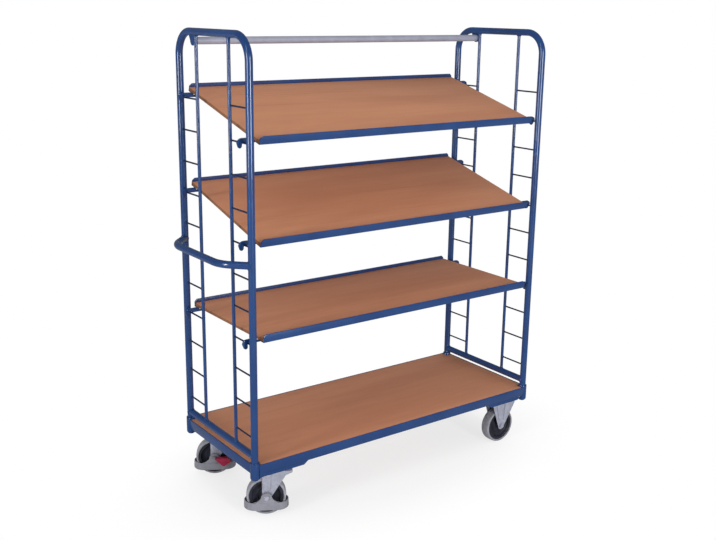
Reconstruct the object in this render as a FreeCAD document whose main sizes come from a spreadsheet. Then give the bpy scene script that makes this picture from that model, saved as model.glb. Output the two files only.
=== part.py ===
import FreeCAD, Part

import math
import os

import Sketcher

doc = FreeCAD.newDocument("ShelfTrolley")

# Driving dimensions in millimetres, degrees and plain counts
SIZES = {
    "frame_length": 1268,
    "frame_width": 472,
    "tube_outer": 25,
    "tube_wall": 2,
    "hoop_height": 1644.5,
    "hoop_bend": 80,
    "inner_bar_span": 220,
    "inner_bar_outer": 12,
    "rung_outer": 6,
    "rung_pitch": 110,
    "rung_top": 1423.5,
    "rung_count": 11,
    "cross_bar_gap": 14.5,
    "weld_gap": 0.06,
    "handle_height": 924.5,
    "handle_reach": 76,
    "handle_bend": 100,
    "tie_drop": 29.5,
    "tie_back": 130,
    "bracket_thick": 5,
    "bracket_round": 16,
    "bracket_outer": 25,
    "socket_outer": 33,
    "socket_fit": 0.4,
    "socket_wall": 3.6,
    "socket_above": 6,
    "socket_below": 50,
    "cap_dome": 12,
    "cap_plug": 6,
    "clamp_shank": 6,
    "clamp_head": 10.5,
    "clamp_drop": 41,
    "deck_height": 232.5,
    "deck_thick": 16,
    "deck_margin": 1,
    "rail_height": 35,
    "rail_flange": 36,
    "rail_thick": 4,
    "rail_corner": 20,
    "rail_bend": 5,
    "rail_end_gap": 8,
    "end_rail_out": 12,
    "bearer_width": 40,
    "bearer_wall": 2,
    "bearer_end_gap": 76,
    "bearer_count": 7,
    "pan_depth": 12,
    "pan_wall": 3,
    "pan_length": 170,
    "pan_slope": 16,
    "pan_set_in": 46,
    "pan_corner": 10,
    "shelf_end_gap": 34,
    "shelf_overhang": 11,
    "shelf_slide": 6.5,
    "shelf_seat": 7,
    "shelf_rail_height": 28,
    "shelf_rail_flange": 32,
    "shelf_rail_thick": 3,
    "shelf_rail_chamfer": 9,
    "shelf_rail_bend": 3.8,
    "shelf_board_thick": 12,
    "shelf_board_fit": 0.1,
    "end_bar_width": 30,
    "end_bar_set_in": 30,
    "hook_post_gap": 30,
    "hook_thick": 5,
    "hook_gap": 0.9,
    "hook_end_gap": 1.5,
    "hook_round": 19,
    "hook_offset": 4,
    "hook_tooth": 17,
    "hook_tip": 7,
    "hook_arm": 6.5,
    "hook_arm_length": 52,
    "wheel_outer": 140,
    "wheel_width": 40,
    "tyre_depth": 9,
    "tyre_round": 5,
    "tyre_crown": 0.6,
    "tyre_bead": 2.5,
    "hub_width": 36,
    "hub_rim": 8,
    "hub_web": 9,
    "hub_boss": 14,
    "hub_ring": 2,
    "hub_end_gap": 0.5,
    "axle_outer": 12,
    "axle_fit": 0.06,
    "axle_head": 20,
    "axle_head_thick": 6,
    "castor_set_in": 83,
    "castor_side_in": 62.5,
    "castor_trail": 40,
    "castor_turn": -30,
    "plate_length": 105,
    "plate_width": 90,
    "plate_thick": 4,
    "plate_corner": 8,
    "plate_bolt_x": 80,
    "plate_bolt_y": 66,
    "race_radius": 34,
    "race_drop": 13,
    "race_gap": 0.35,
    "kingpin_outer": 12,
    "kingpin_head": 24,
    "kingpin_head_thick": 6,
    "fork_inner": 24,
    "fork_thick": 4,
    "fork_round": 6,
    "fork_tip": 15,
    "fork_rib": 1.2,
    "fork_lead": 52,
    "fork_back": 55,
    "fixed_back": 52,
    "fixed_lead": 72,
    "fixed_plate_width": 100,
    "fixed_bolt_back": 36,
    "fixed_bolt_lead": 34,
    "fixed_bolt_y": 78,
    "fixed_set_in": 56,
    "bolt_outer": 9.8,
    "bolt_hole": 10,
    "bolt_head": 16,
    "bolt_head_thick": 6,
    "bolt_nut_thick": 8,
    "guard_half_length": 78,
    "guard_half_width": 39,
    "guard_wall": 4,
    "guard_bottom": 25,
    "guard_top": 53,
    "guard_tongue": 6.5,
    "guard_side_gap": 0.3,
    "tongue_half_base": 46,
    "tongue_round": 20,
    "tongue_sweep": 34,
    "pedal_side_gap": 0.35,
    "pedal_eye": 12,
    "pedal_eye_thick": 6,
    "pedal_reach": 64,
    "pedal_neck": 20,
    "pedal_belly": 33,
    "pedal_drop": 26,
    "pedal_tread": 20,
    "pedal_rib": 3,
    "pedal_rib_count": 5,
}

# Which rung, counted from the top, carries the front and the back hooks of each shelf
SHELF_RUNGS = {"top": (1, 0), "middle": (4, 3), "lower": (7, 7)}

sheet = doc.addObject("Spreadsheet::Sheet", "Sizes")
for row, (alias, value) in enumerate(SIZES.items(), start=1):
    sheet.set("A%d" % row, alias.replace("_", " "))
    sheet.set("B%d" % row, str(value))
    sheet.setAlias("B%d" % row, alias)
doc.recompute()


# A length that carries its number and the expression that drives it
class Dim:
    def __init__(self, value, text):
        self.value = float(value)
        self.text = text

    def __add__(self, other):
        other = dim(other)
        return Dim(self.value + other.value, "(%s + %s)" % (self.text, other.text))

    def __sub__(self, other):
        other = dim(other)
        return Dim(self.value - other.value, "(%s - %s)" % (self.text, other.text))

    def __mul__(self, other):
        other = dim(other)
        return Dim(self.value * other.value, "(%s * %s)" % (self.text, other.text))

    def __truediv__(self, other):
        other = dim(other)
        return Dim(self.value / other.value, "(%s / %s)" % (self.text, other.text))

    def __neg__(self):
        return Dim(-self.value, "(0 - %s)" % self.text)

    def __radd__(self, other):
        return dim(other) + self

    def __rsub__(self, other):
        return dim(other) - self

    def __rmul__(self, other):
        return dim(other) * self

    def root(self):
        return Dim(math.sqrt(self.value), "sqrt(%s)" % self.text)


def dim(number):
    if isinstance(number, Dim):
        return number
    return Dim(number, "(%.6f)" % number)


def size(alias):
    return Dim(sheet.get(alias), "Sizes.%s" % alias)


# Values used all over the model
tube_radius = size("tube_outer") / 2
post_x = size("frame_length") / 2
post_y = size("frame_width") / 2
bar_y = size("inner_bar_span") / 2
bar_radius = size("inner_bar_outer") / 2
rung_radius = size("rung_outer") / 2
socket_radius = size("socket_outer") / 2
axle_radius = size("axle_outer") / 2
axle_hole = axle_radius + size("axle_fit")
wheel_radius = size("wheel_outer") / 2
weld_gap = size("weld_gap")
rail_bottom = size("deck_height") - size("rail_height")
pan_bottom = rail_bottom - size("pan_depth")
plate_bottom = pan_bottom - size("plate_thick")
fork_top = plate_bottom - size("race_drop")
fork_outer = size("fork_inner") + size("fork_thick")
cross_bar_height = size("deck_height") + size("cross_bar_gap") + tube_radius
tie_height = size("hoop_height") - size("tie_drop")
base_half_width = post_y + socket_radius
base_half_length = post_x + size("end_rail_out")
rail_half_length = post_x - size("rail_end_gap")
pan_outer = base_half_length - size("pan_set_in")
pan_inner = pan_outer - size("pan_length")
castor_x = pan_outer - size("castor_set_in")
castor_y = base_half_width - size("castor_side_in")
fixed_axle_x = pan_outer - size("fixed_set_in")
shelf_half_length = post_x - size("shelf_end_gap")
shelf_half_width = post_y + size("shelf_overhang")
hook_half_span = post_y - size("hook_post_gap")
# The origin lies on the floor under the middle of the whole trolley, from handle to hooks
shift = (size("handle_reach") + tube_radius - size("hook_offset") - size("hook_round")) / 2


# Helpers that draw constrained sketches and build features on them
def new_body(name):
    return doc.addObject("PartDesign::Body", name)


def sketch_on(body, plane, offset=None):
    sketch = body.newObject("Sketcher::SketchObject", body.Name + "_sketch")
    support = [f for f in body.Origin.OriginFeatures if f.Role == plane][0]
    sketch.AttachmentSupport = [(support, "")]
    sketch.MapMode = "FlatFace"
    if offset is not None:
        sketch.setExpression(".AttachmentOffset.Base.z", dim(offset).text)
    return sketch


def pin(sketch, geometry, position, kind, value):
    value = dim(value)
    index = sketch.addConstraint(Sketcher.Constraint(kind, -1, 1, geometry, position, value.value))
    sketch.setExpression("Constraints[%d]" % index, value.text)


def bind_radius(sketch, geometry, radius):
    index = sketch.addConstraint(Sketcher.Constraint("Radius", geometry, radius.value))
    sketch.setExpression("Constraints[%d]" % index, radius.text)


def arc_between(start, end, radius):
    # Short arc through two points, its centre on the left of the way for a positive radius
    ax, ay = start
    bx, by = end
    chord = math.hypot(bx - ax, by - ay)
    rise = math.sqrt(max(radius * radius - chord * chord / 4, 0.0))
    side = math.copysign(1.0, radius)
    cx = (ax + bx) / 2 - side * rise * (by - ay) / chord
    cy = (ay + by) / 2 + side * rise * (bx - ax) / chord
    first = math.atan2(ay - cy, ax - cx)
    last = math.atan2(by - cy, bx - cx)
    if radius < 0:
        first, last = last, first
    if last < first:
        last += 2 * math.pi
    circle = Part.Circle(FreeCAD.Vector(cx, cy, 0), FreeCAD.Vector(0, 0, 1), abs(radius))
    return Part.ArcOfCircle(circle, first, last)


def outline(sketch, points, closed=True):
    # Each point is (x, y) or (x, y, radius); a radius makes the way to the next point an arc
    corners = [(dim(p[0]), dim(p[1])) for p in points]
    radii = [dim(p[2]) if len(p) > 2 else None for p in points]
    count = len(points) if closed else len(points) - 1
    segments = []
    for i in range(count):
        start = (corners[i][0].value, corners[i][1].value)
        end_corner = corners[(i + 1) % len(points)]
        end = (end_corner[0].value, end_corner[1].value)
        if radii[i] is None:
            line = Part.LineSegment(FreeCAD.Vector(*start, 0), FreeCAD.Vector(*end, 0))
            segments.append((sketch.addGeometry(line), 1, 2))
        else:
            geometry = sketch.addGeometry(arc_between(start, end, radii[i].value))
            ends = (1, 2) if radii[i].value > 0 else (2, 1)
            segments.append((geometry, ends[0], ends[1]))
    for i, (geometry, first, last) in enumerate(segments):
        pin(sketch, geometry, first, "DistanceX", corners[i][0])
        pin(sketch, geometry, first, "DistanceY", corners[i][1])
        if i + 1 < count or closed:
            following = segments[(i + 1) % count]
            joint = Sketcher.Constraint("Coincident", geometry, last, following[0], following[1])
            sketch.addConstraint(joint)
        else:
            pin(sketch, geometry, last, "DistanceX", corners[-1][0])
            pin(sketch, geometry, last, "DistanceY", corners[-1][1])
        if radii[i] is not None:
            bind_radius(sketch, geometry, radii[i] if radii[i].value > 0 else -radii[i])
    return sketch


def circle(sketch, x, y, radius):
    x, y, radius = dim(x), dim(y), dim(radius)
    centre = FreeCAD.Vector(x.value, y.value, 0)
    geometry = sketch.addGeometry(Part.Circle(centre, FreeCAD.Vector(0, 0, 1), radius.value))
    pin(sketch, geometry, 3, "DistanceX", x)
    pin(sketch, geometry, 3, "DistanceY", y)
    bind_radius(sketch, geometry, radius)
    return sketch


def rectangle(sketch, x0, y0, x1, y1):
    return outline(sketch, [(x0, y0), (x1, y0), (x1, y1), (x0, y1)])


def pad(body, sketch, length):
    feature = body.newObject("PartDesign::Pad", body.Name + "_pad")
    feature.Profile = sketch
    feature.SideType = "Symmetric"
    feature.setExpression("Length", dim(length).text)
    sketch.Visibility = False
    doc.recompute()
    return feature


def pocket(body, sketch, length):
    before = body.Shape.Volume
    feature = body.newObject("PartDesign::Pocket", body.Name + "_pocket")
    feature.Profile = sketch
    feature.SideType = "Symmetric"
    feature.setExpression("Length", dim(length).text)
    sketch.Visibility = False
    doc.recompute()
    if not body.Shape.Volume < before - 0.01:
        raise RuntimeError("%s: a pocket removed nothing" % body.Name)
    return feature


def revolve(body, sketch):
    feature = body.newObject("PartDesign::Revolution", body.Name + "_turn")
    feature.Profile = sketch
    feature.ReferenceAxis = (sketch, ["V_Axis"])
    feature.Angle = 360
    sketch.Visibility = False
    doc.recompute()
    return feature


def place(item, x=None, y=None, z=None, turn=None, axis=(0, 0, 1)):
    if turn is not None:
        item.Placement = FreeCAD.Placement(
            FreeCAD.Vector(0, 0, 0), FreeCAD.Rotation(FreeCAD.Vector(*axis), turn.value))
    for letter, value in (("x", x), ("y", y), ("z", z)):
        if value is not None:
            item.setExpression(".Placement.Base.%s" % letter, dim(value).text)
    return item


def rod(name, radius, length, x, y, z, axis):
    # Round bar that starts at a point and runs along one axis
    item = doc.addObject("Part::Cylinder", name)
    item.setExpression("Radius", dim(radius).text)
    item.setExpression("Height", dim(length).text)
    turns = {"x": FreeCAD.Rotation(FreeCAD.Vector(0, 1, 0), 90),
             "y": FreeCAD.Rotation(FreeCAD.Vector(1, 0, 0), -90),
             "z": FreeCAD.Rotation()}
    item.Placement = FreeCAD.Placement(FreeCAD.Vector(0, 0, 0), turns[axis])
    return place(item, x, y, z)


def group(name, members):
    item = doc.addObject("Part::Compound", name)
    item.Links = members
    return item


nodes = {}


def keep(name, item):
    nodes[name] = item
    return item


ENDS = (("left", -1), ("right", 1))
SIDES = (("front", -1), ("back", 1))


# End frames: a hoop of bent tube, its cross bar, inner bars and ladders of rungs
def hoop(name, sign):
    body = new_body(name)
    foot = size("deck_height") - size("socket_below") + size("cap_plug")
    bend = size("hoop_bend")
    shoulder = size("hoop_height") - bend
    path = sketch_on(body, "YZ_Plane")
    outline(path, [(-post_y, foot), (-post_y, shoulder, -bend),
                   (bend - post_y, size("hoop_height")), (post_y - bend, size("hoop_height"), -bend),
                   (post_y, shoulder), (post_y, foot)], closed=False)
    ring = sketch_on(body, "XY_Plane", foot)
    circle(ring, 0, -post_y, tube_radius)
    circle(ring, 0, -post_y, tube_radius - size("tube_wall"))
    doc.recompute()
    pipe = body.newObject("PartDesign::AdditivePipe", name + "_pipe")
    pipe.Profile = ring
    pipe.Spine = (path, ["Edge%d" % n for n in range(1, 6)])
    path.Visibility = False
    ring.Visibility = False
    doc.recompute()
    return place(body, x=shift + sign * post_x)


def cross_bar(name, sign):
    body = new_body(name)
    ring = sketch_on(body, "XZ_Plane")
    circle(ring, 0, 0, tube_radius)
    circle(ring, 0, 0, tube_radius - size("tube_wall"))
    pad(body, ring, size("frame_width"))
    cope = sketch_on(body, "XY_Plane")
    circle(cope, 0, -post_y, tube_radius + weld_gap)
    circle(cope, 0, post_y, tube_radius + weld_gap)
    pocket(body, cope, size("tube_outer") * 2)
    return place(body, x=shift + sign * post_x, z=cross_bar_height)


def inner_bars(name, sign):
    foot = cross_bar_height + tube_radius + weld_gap
    length = size("hoop_height") - tube_radius - weld_gap - foot
    bars = [rod("%s_%s" % (name, side), bar_radius, length,
                shift + sign * post_x, turn * bar_y, foot, "z") for side, turn in SIDES]
    return group(name, bars)


def ladder(name, sign, turn):
    length = post_y - tube_radius - bar_y - bar_radius - 2 * weld_gap
    inner = bar_y + bar_radius + weld_gap
    start = inner if turn > 0 else -inner - length
    rungs = []
    for index in range(int(sheet.get("rung_count"))):
        height = size("rung_top") - index * size("rung_pitch")
        rungs.append(rod("%s_%d" % (name, index), rung_radius, length,
                         shift + sign * post_x, start, height, "y"))
    return group(name, rungs)


for end, sign in ENDS:
    keep("end_tube_" + end, hoop("end_tube_" + end, sign))
    keep("cross_bar_" + end, cross_bar("cross_bar_" + end, sign))
    keep("inner_bars_" + end, inner_bars("inner_bars_" + end, sign))
    for side, turn in SIDES:
        name = "rungs_%s_%s" % (side, end)
        keep(name, ladder(name, sign, turn))


# Push handle: half of the bow is swept and mirrored, its ends coped to the posts
def push_handle(name):
    body = new_body(name)
    reach = size("handle_reach")
    bend = size("handle_bend")
    # The ends leave the posts at 45 degrees, so both legs of a slant are equally long
    along = bend * dim(0.5).root()
    slant = reach - bend + along
    path = sketch_on(body, "XY_Plane")
    outline(path, [(-reach, 0), (-reach, post_y - slant - along, -bend),
                   (-slant, post_y - slant), (0, post_y)], closed=False)
    ring = sketch_on(body, "XZ_Plane")
    circle(ring, -reach, 0, tube_radius)
    circle(ring, -reach, 0, tube_radius - size("tube_wall"))
    doc.recompute()
    pipe = body.newObject("PartDesign::AdditivePipe", name + "_pipe")
    pipe.Profile = ring
    pipe.Spine = (path, ["Edge1", "Edge2", "Edge3"])
    path.Visibility = False
    ring.Visibility = False
    doc.recompute()
    mirror = body.newObject("PartDesign::Mirrored", name + "_mirror")
    mirror.Originals = [pipe]
    plane = [f for f in body.Origin.OriginFeatures if f.Role == "XZ_Plane"][0]
    mirror.MirrorPlane = (plane, [""])
    body.Tip = mirror
    doc.recompute()
    cope = sketch_on(body, "XY_Plane")
    circle(cope, 0, -post_y, tube_radius + weld_gap)
    circle(cope, 0, post_y, tube_radius + weld_gap)
    pocket(body, cope, size("tube_outer") * 2)
    return place(body, x=shift - post_x, z=size("handle_height"))


keep("push_handle", push_handle("push_handle"))


# Tie tube between two gusset plates, each in the corner of a hoop and its back inner bar
tie_half = post_x - size("bracket_thick") / 2 - weld_gap


def tie_tube(name):
    body = new_body(name)
    ring = sketch_on(body, "YZ_Plane")
    circle(ring, 0, 0, tube_radius)
    circle(ring, 0, 0, tube_radius - size("tube_wall"))
    pad(body, ring, tie_half * 2)
    return place(body, x=shift, y=size("tie_back"), z=tie_height)


def tie_bracket(name, sign):
    # Gusset plate: top edge under the hoop, one edge on the inner bar, round below the tube
    body = new_body(name)
    top = size("hoop_height") - tube_radius - weld_gap - tie_height
    inner = bar_y + bar_radius + weld_gap - size("tie_back")
    curve = size("bracket_round")
    plate = sketch_on(body, "YZ_Plane")
    outline(plate, [(inner, top), (inner, curve * -0.6), (inner + 3, curve * -0.85), (0, -curve, curve),
                    (curve * 0.8, curve * -0.6, curve), (curve, 0), (size("bracket_outer"), top)])
    pad(body, plate, size("bracket_thick"))
    return place(body, x=shift + sign * post_x, y=size("tie_back"), z=tie_height)


keep("tie_tube", tie_tube("tie_tube"))
keep("tie_brackets", group("tie_brackets", [tie_bracket("tie_bracket_" + end, s) for end, s in ENDS]))


# Base: angle rails round the deck, corner sockets, castor pans and bearers
def bent_angle(sketch, side, inner, outer, bottom, top, thick, bend):
    # Section of a bent angle: a flange that lies from inner to outer and a leg that stands at outer
    root = bend - thick
    outline(sketch, [(side * inner, bottom), (side * (outer - bend), bottom, side * bend),
                     (side * outer, bottom + bend), (side * outer, top), (side * (outer - thick), top),
                     (side * (outer - thick), bottom + bend, -side * root),
                     (side * (outer - bend), bottom + thick), (side * inner, bottom + thick)])


def base_rail(name, turn):
    body = new_body(name)
    half = rail_half_length
    corner = size("rail_corner")
    section = sketch_on(body, "YZ_Plane")
    bent_angle(section, turn, base_half_width - size("rail_flange"), base_half_width,
               rail_bottom, size("deck_height"), size("rail_thick"), size("rail_bend"))
    pad(body, section, half * 2)
    ends = sketch_on(body, "XZ_Plane")
    for sign in (-1, 1):
        outline(ends, [(sign * (half - corner), rail_bottom, sign * corner),
                       (sign * half, rail_bottom + corner), (sign * (half + 1), rail_bottom + corner),
                       (sign * (half + 1), rail_bottom - 1),
                       (sign * (half - corner), rail_bottom - 1)])
    pocket(body, ends, base_half_width * 4)
    cope = sketch_on(body, "XY_Plane", size("deck_height"))
    for sign in (-1, 1):
        circle(cope, sign * post_x, turn * post_y, socket_radius + weld_gap)
    pocket(body, cope, size("rail_height") * 4)
    return place(body, x=shift)


def end_rail(name, sign):
    body = new_body(name)
    angle = sketch_on(body, "XZ_Plane")
    bent_angle(angle, sign, pan_outer - size("pan_wall") * 2, base_half_length,
               rail_bottom, size("deck_height"), size("rail_thick"), size("rail_bend"))
    pad(body, angle, size("frame_width"))
    # The flange stops between the flanges of the long rails
    inner = base_half_width - size("rail_flange") - weld_gap
    trim = sketch_on(body, "XY_Plane", rail_bottom)
    for turn in (-1, 1):
        rectangle(trim, sign * (pan_outer - size("pan_length")), turn * inner,
                  sign * (base_half_length - size("rail_bend")), turn * base_half_width)
    pocket(body, trim, size("rail_thick") * 4)
    cope = sketch_on(body, "XY_Plane", size("deck_height"))
    circle(cope, sign * post_x, -post_y, socket_radius + weld_gap)
    circle(cope, sign * post_x, post_y, socket_radius + weld_gap)
    pocket(body, cope, size("rail_height") * 4)
    return place(body, x=shift)


def castor_pan(name, sign, holes):
    # Pressed tray: sloping inner wall, round outer corner, closed ends, open top
    body = new_body(name)
    wall = size("pan_wall")
    corner = size("pan_corner")
    inner, outer = pan_inner, pan_outer
    slope = size("pan_slope")
    shell = sketch_on(body, "XZ_Plane")
    outline(shell, [(sign * inner, rail_bottom), (sign * (inner + slope), pan_bottom),
                    (sign * (outer - corner), pan_bottom, sign * corner),
                    (sign * outer, pan_bottom + corner), (sign * outer, rail_bottom)])
    pad(body, shell, base_half_width * 2)
    core = sketch_on(body, "XZ_Plane")
    floor = pan_bottom + wall
    shrink = corner - wall
    outline(core, [(sign * (inner + wall * 1.4), rail_bottom + 1),
                   (sign * (inner + wall * 1.4), rail_bottom),
                   (sign * (inner + slope + wall * 0.5), floor),
                   (sign * (outer - corner), floor, sign * shrink),
                   (sign * (outer - wall), pan_bottom + corner),
                   (sign * (outer - wall), rail_bottom + 1)])
    pocket(body, core, base_half_width * 2 - wall * 2)
    drill = sketch_on(body, "XY_Plane", pan_bottom)
    for x, y in holes:
        circle(drill, x, y, size("bolt_hole") / 2)
    pocket(body, drill, wall * 4)
    return place(body, x=shift)


def corner_socket(name, sign, turn):
    body = new_body(name)
    bottom = size("deck_height") - size("socket_below") + weld_gap
    top = size("deck_height") + size("socket_above")
    ring = sketch_on(body, "XY_Plane", (bottom + top) / 2)
    circle(ring, 0, 0, socket_radius)
    circle(ring, 0, 0, tube_radius + size("socket_fit"))
    pad(body, ring, top - bottom)
    drill = sketch_on(body, "YZ_Plane", -sign * socket_radius)
    circle(drill, 0, size("deck_height") - size("clamp_drop"), size("clamp_shank") / 2 + 0.1)
    pocket(body, drill, size("socket_wall") * 4)
    return place(body, x=shift + sign * post_x, y=turn * post_y)


def end_cap(name, sign, turn):
    body = new_body(name)
    bottom = size("deck_height") - size("socket_below")
    dome = size("cap_dome")
    plug = tube_radius - 0.3
    foot = bottom + size("cap_plug") - weld_gap
    profile = sketch_on(body, "XZ_Plane")
    outline(profile, [(0, bottom - dome), (socket_radius - dome, bottom - dome, dome),
                      (socket_radius, bottom), (plug, bottom), (plug, foot), (0, foot)])
    revolve(body, profile)
    return place(body, x=shift + sign * post_x, y=turn * post_y)


def clamp_screw(name, sign, turn):
    # Button head screw through the inner side of a socket, its point on the post
    body = new_body(name)
    shank = size("clamp_shank") / 2
    head = size("clamp_head") / 2
    tip = tube_radius + weld_gap
    seat = socket_radius + weld_gap
    profile = sketch_on(body, "XY_Plane")
    outline(profile, [(0, tip), (shank, tip), (shank, seat), (head, seat),
                      (head, seat + 2), (head - 3, seat + 5), (0, seat + 5)])
    revolve(body, profile)
    place(body, shift + sign * post_x, turn * post_y, size("deck_height") - size("clamp_drop"),
          turn=dim(90 * sign))
    return body


def deck_board(name):
    body = new_body(name)
    half_x = base_half_length - size("rail_thick") - size("deck_margin")
    half_y = base_half_width - size("rail_thick") - size("deck_margin") / 2
    notch_x = post_x - socket_radius - size("deck_margin")
    notch_y = post_y - socket_radius - size("deck_margin")
    board = sketch_on(body, "XY_Plane", size("deck_height") - size("deck_thick") / 2)
    outline(board, [(-notch_x, -half_y), (notch_x, -half_y), (notch_x, -notch_y), (half_x, -notch_y),
                    (half_x, notch_y), (notch_x, notch_y), (notch_x, half_y), (-notch_x, half_y),
                    (-notch_x, notch_y), (-half_x, notch_y), (-half_x, -notch_y), (-notch_x, -notch_y)])
    pad(body, board, size("deck_thick"))
    return place(body, x=shift)


def deck_bearer(name, index):
    body = new_body(name)
    bottom = rail_bottom + size("rail_thick")
    top = size("deck_height") - size("deck_thick")
    half = size("bearer_width") / 2
    wall = size("bearer_wall")
    section = sketch_on(body, "XZ_Plane")
    rectangle(section, -half, bottom, half, top)
    rectangle(section, wall - half, bottom + wall, half - wall, top - wall)
    pad(body, section, (base_half_width - size("rail_bend") - weld_gap) * 2)
    middle = (int(sheet.get("bearer_count")) - 1) / 2
    spacing = (base_half_length - size("bearer_end_gap")) / middle
    return place(body, x=shift + (index - middle) * spacing)


# Bolt patterns of the castors, seen from the middle of the trolley
swivel_holes = [(sx * size("plate_bolt_x") / 2 - castor_x,
                 turn * castor_y + sy * size("plate_bolt_y") / 2)
                for sx in (-1, 1) for sy in (-1, 1) for side, turn in SIDES]
fixed_holes = [(fixed_axle_x + along, turn * castor_y + sy * size("fixed_bolt_y") / 2)
               for along in (-size("fixed_bolt_back"), size("fixed_bolt_lead"))
               for sy in (-1, 1) for side, turn in SIDES]

for side, turn in SIDES:
    keep("base_rail_" + side, base_rail("base_rail_" + side, turn))
for end, sign in ENDS:
    keep("base_end_rail_" + end, end_rail("base_end_rail_" + end, sign))
    holes = swivel_holes if sign < 0 else fixed_holes
    keep("castor_pan_" + end, castor_pan("castor_pan_" + end, sign, holes))
corners = [("%s_%s" % (side, end), sign, turn) for end, sign in ENDS for side, turn in SIDES]
keep("corner_sockets", group("corner_sockets", [corner_socket("socket_" + n, s, t) for n, s, t in corners]))
keep("post_end_caps", group("post_end_caps", [end_cap("cap_" + n, s, t) for n, s, t in corners]))
keep("clamp_screws", group("clamp_screws", [clamp_screw("clamp_" + n, s, t) for n, s, t in corners]))
keep("deck_board", deck_board("deck_board"))
bearers = [deck_bearer("bearer_%d" % n, n) for n in range(int(sheet.get("bearer_count")))]
keep("deck_bearers", group("deck_bearers", bearers))


# Shelves, drawn flat about the middle of their rung centres and then hung with a tilt
board_bottom = size("shelf_seat") + size("shelf_rail_thick")
rail_inner = shelf_half_width - size("shelf_rail_flange")


def shelf_rail(name, turn):
    body = new_body(name)
    half = shelf_half_length
    bottom = size("shelf_seat")
    top = bottom + size("shelf_rail_height")
    cut = size("shelf_rail_chamfer")
    section = sketch_on(body, "YZ_Plane")
    bent_angle(section, turn, rail_inner, shelf_half_width, bottom, top,
               size("shelf_rail_thick"), size("shelf_rail_bend"))
    pad(body, section, half * 2)
    ends = sketch_on(body, "XZ_Plane")
    for sign in (-1, 1):
        outline(ends, [(sign * half, top - cut), (sign * (half + 1), top - cut), (sign * (half + 1), top + 1),
                       (sign * (half - cut), top + 1), (sign * (half - cut), top)])
    pocket(body, ends, shelf_half_width * 4)
    return body


def shelf_board(name):
    body = new_body(name)
    half_x = shelf_half_length
    half_y = shelf_half_width - size("shelf_rail_bend") - size("shelf_board_fit")
    board = sketch_on(body, "XY_Plane", board_bottom + size("shelf_board_thick") / 2)
    rectangle(board, -half_x, -half_y, half_x, half_y)
    pad(body, board, size("shelf_board_thick"))
    return body


def shelf_end_bar(name, sign):
    body = new_body(name)
    outer = shelf_half_length - size("end_bar_set_in")
    inner = outer - size("end_bar_width")
    low, high = (inner, outer) if sign > 0 else (-outer, -inner)
    bar = sketch_on(body, "XY_Plane", size("shelf_seat") + size("shelf_rail_thick") / 2)
    rectangle(bar, low, weld_gap - rail_inner, high, rail_inner - weld_gap)
    pad(body, bar, size("shelf_rail_thick"))
    return body


def shelf_hook(name, sign, turn):
    # Plate hook: arm under the end bar, rounded lobe over the rung, tooth outside it
    body = new_body(name)
    slot = rung_radius + size("hook_gap")
    lobe = size("hook_round")
    centre = post_x + size("hook_offset")
    arm_top = size("shelf_seat") - weld_gap
    arm_bottom = arm_top - size("hook_arm")
    board_end = shelf_half_length + size("hook_end_gap")
    tip = size("hook_tip")
    tip_height = tip - size("hook_tooth")
    outside = post_x + slot
    plate = sketch_on(body, "XZ_Plane", -turn * hook_half_span)
    points = [(board_end - size("hook_arm_length"), arm_bottom + 4),
              (board_end - size("hook_arm_length") + 6, arm_bottom),
              (post_x - slot - 4, arm_bottom), (post_x - slot, arm_bottom - 3),
              (post_x - slot, 0, -slot), (post_x, slot, -slot), (outside, 0),
              (outside, tip_height, tip), (outside + tip, tip_height - tip, tip),
              (outside + tip * 2, tip_height),
              (centre + lobe, 0, lobe), (centre, lobe),
              (board_end + 8, lobe), (board_end, arm_top + 3), (board_end, arm_top),
              (board_end - size("hook_arm_length"), arm_top)]
    drawn = []
    for point in points:
        rest = tuple(sign * r for r in point[2:])
        drawn.append((sign * point[0], point[1]) + rest)
    outline(plate, drawn)
    pad(body, plate, size("hook_thick"))
    return body


def hang(item, front, back):
    # Hooks rest on two rungs; the rungs run fore and aft, so the shelf may shift along them
    pitch = sheet.get("rung_pitch")
    span = 2 * hook_half_span.value
    lift = (front - back) * pitch
    tilt = dim(math.degrees(math.asin(lift / span)))
    height = size("rung_top") - (front + back) / 2 * size("rung_pitch")
    slide = size("shelf_slide") if front != back else dim(0)
    return place(item, x=shift, y=slide, z=height, turn=tilt, axis=(1, 0, 0))


for shelf, (front, back) in SHELF_RUNGS.items():
    label = "shelf_%s_" % shelf
    keep(label + "board", hang(shelf_board(label + "board"), front, back))
    for side, turn in SIDES:
        rail = "%s%s_rail" % (label, side)
        keep(rail, hang(shelf_rail(rail, turn), front, back))
    bars = [hang(shelf_end_bar(label + "bar_" + end, sign), front, back) for end, sign in ENDS]
    keep(label + "end_bars", group(label + "end_bars", bars))
    hooks = [hang(shelf_hook("%shook_%s_%s" % (label, side, end), sign, turn), front, back)
             for end, sign in ENDS for side, turn in SIDES]
    keep(label + "hooks", group(label + "hooks", hooks))


# Wheels: a hub with a web and a tyre with rounded shoulders
def wheel_hub(name):
    body = new_body(name)
    rim = wheel_radius - size("tyre_depth") - weld_gap
    half = size("hub_width") / 2
    boss = size("hub_boss")
    end = size("fork_inner") - size("hub_end_gap")
    web = size("hub_web") / 2
    well = rim - size("hub_rim")
    ring = size("hub_ring")
    middle = (boss + well) / 2
    face = [(axle_hole, end), (boss - 3, end), (boss, end - 3), (boss + 3, web),
            (middle - ring, web), (middle - ring / 2, web + ring), (middle + ring / 2, web + ring),
            (middle + ring, web), (well - 3, web), (well, half), (rim, half)]
    profile = sketch_on(body, "XY_Plane")
    outline(profile, [(r, -h) for r, h in face] + face[::-1])
    revolve(body, profile)
    return body


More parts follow.
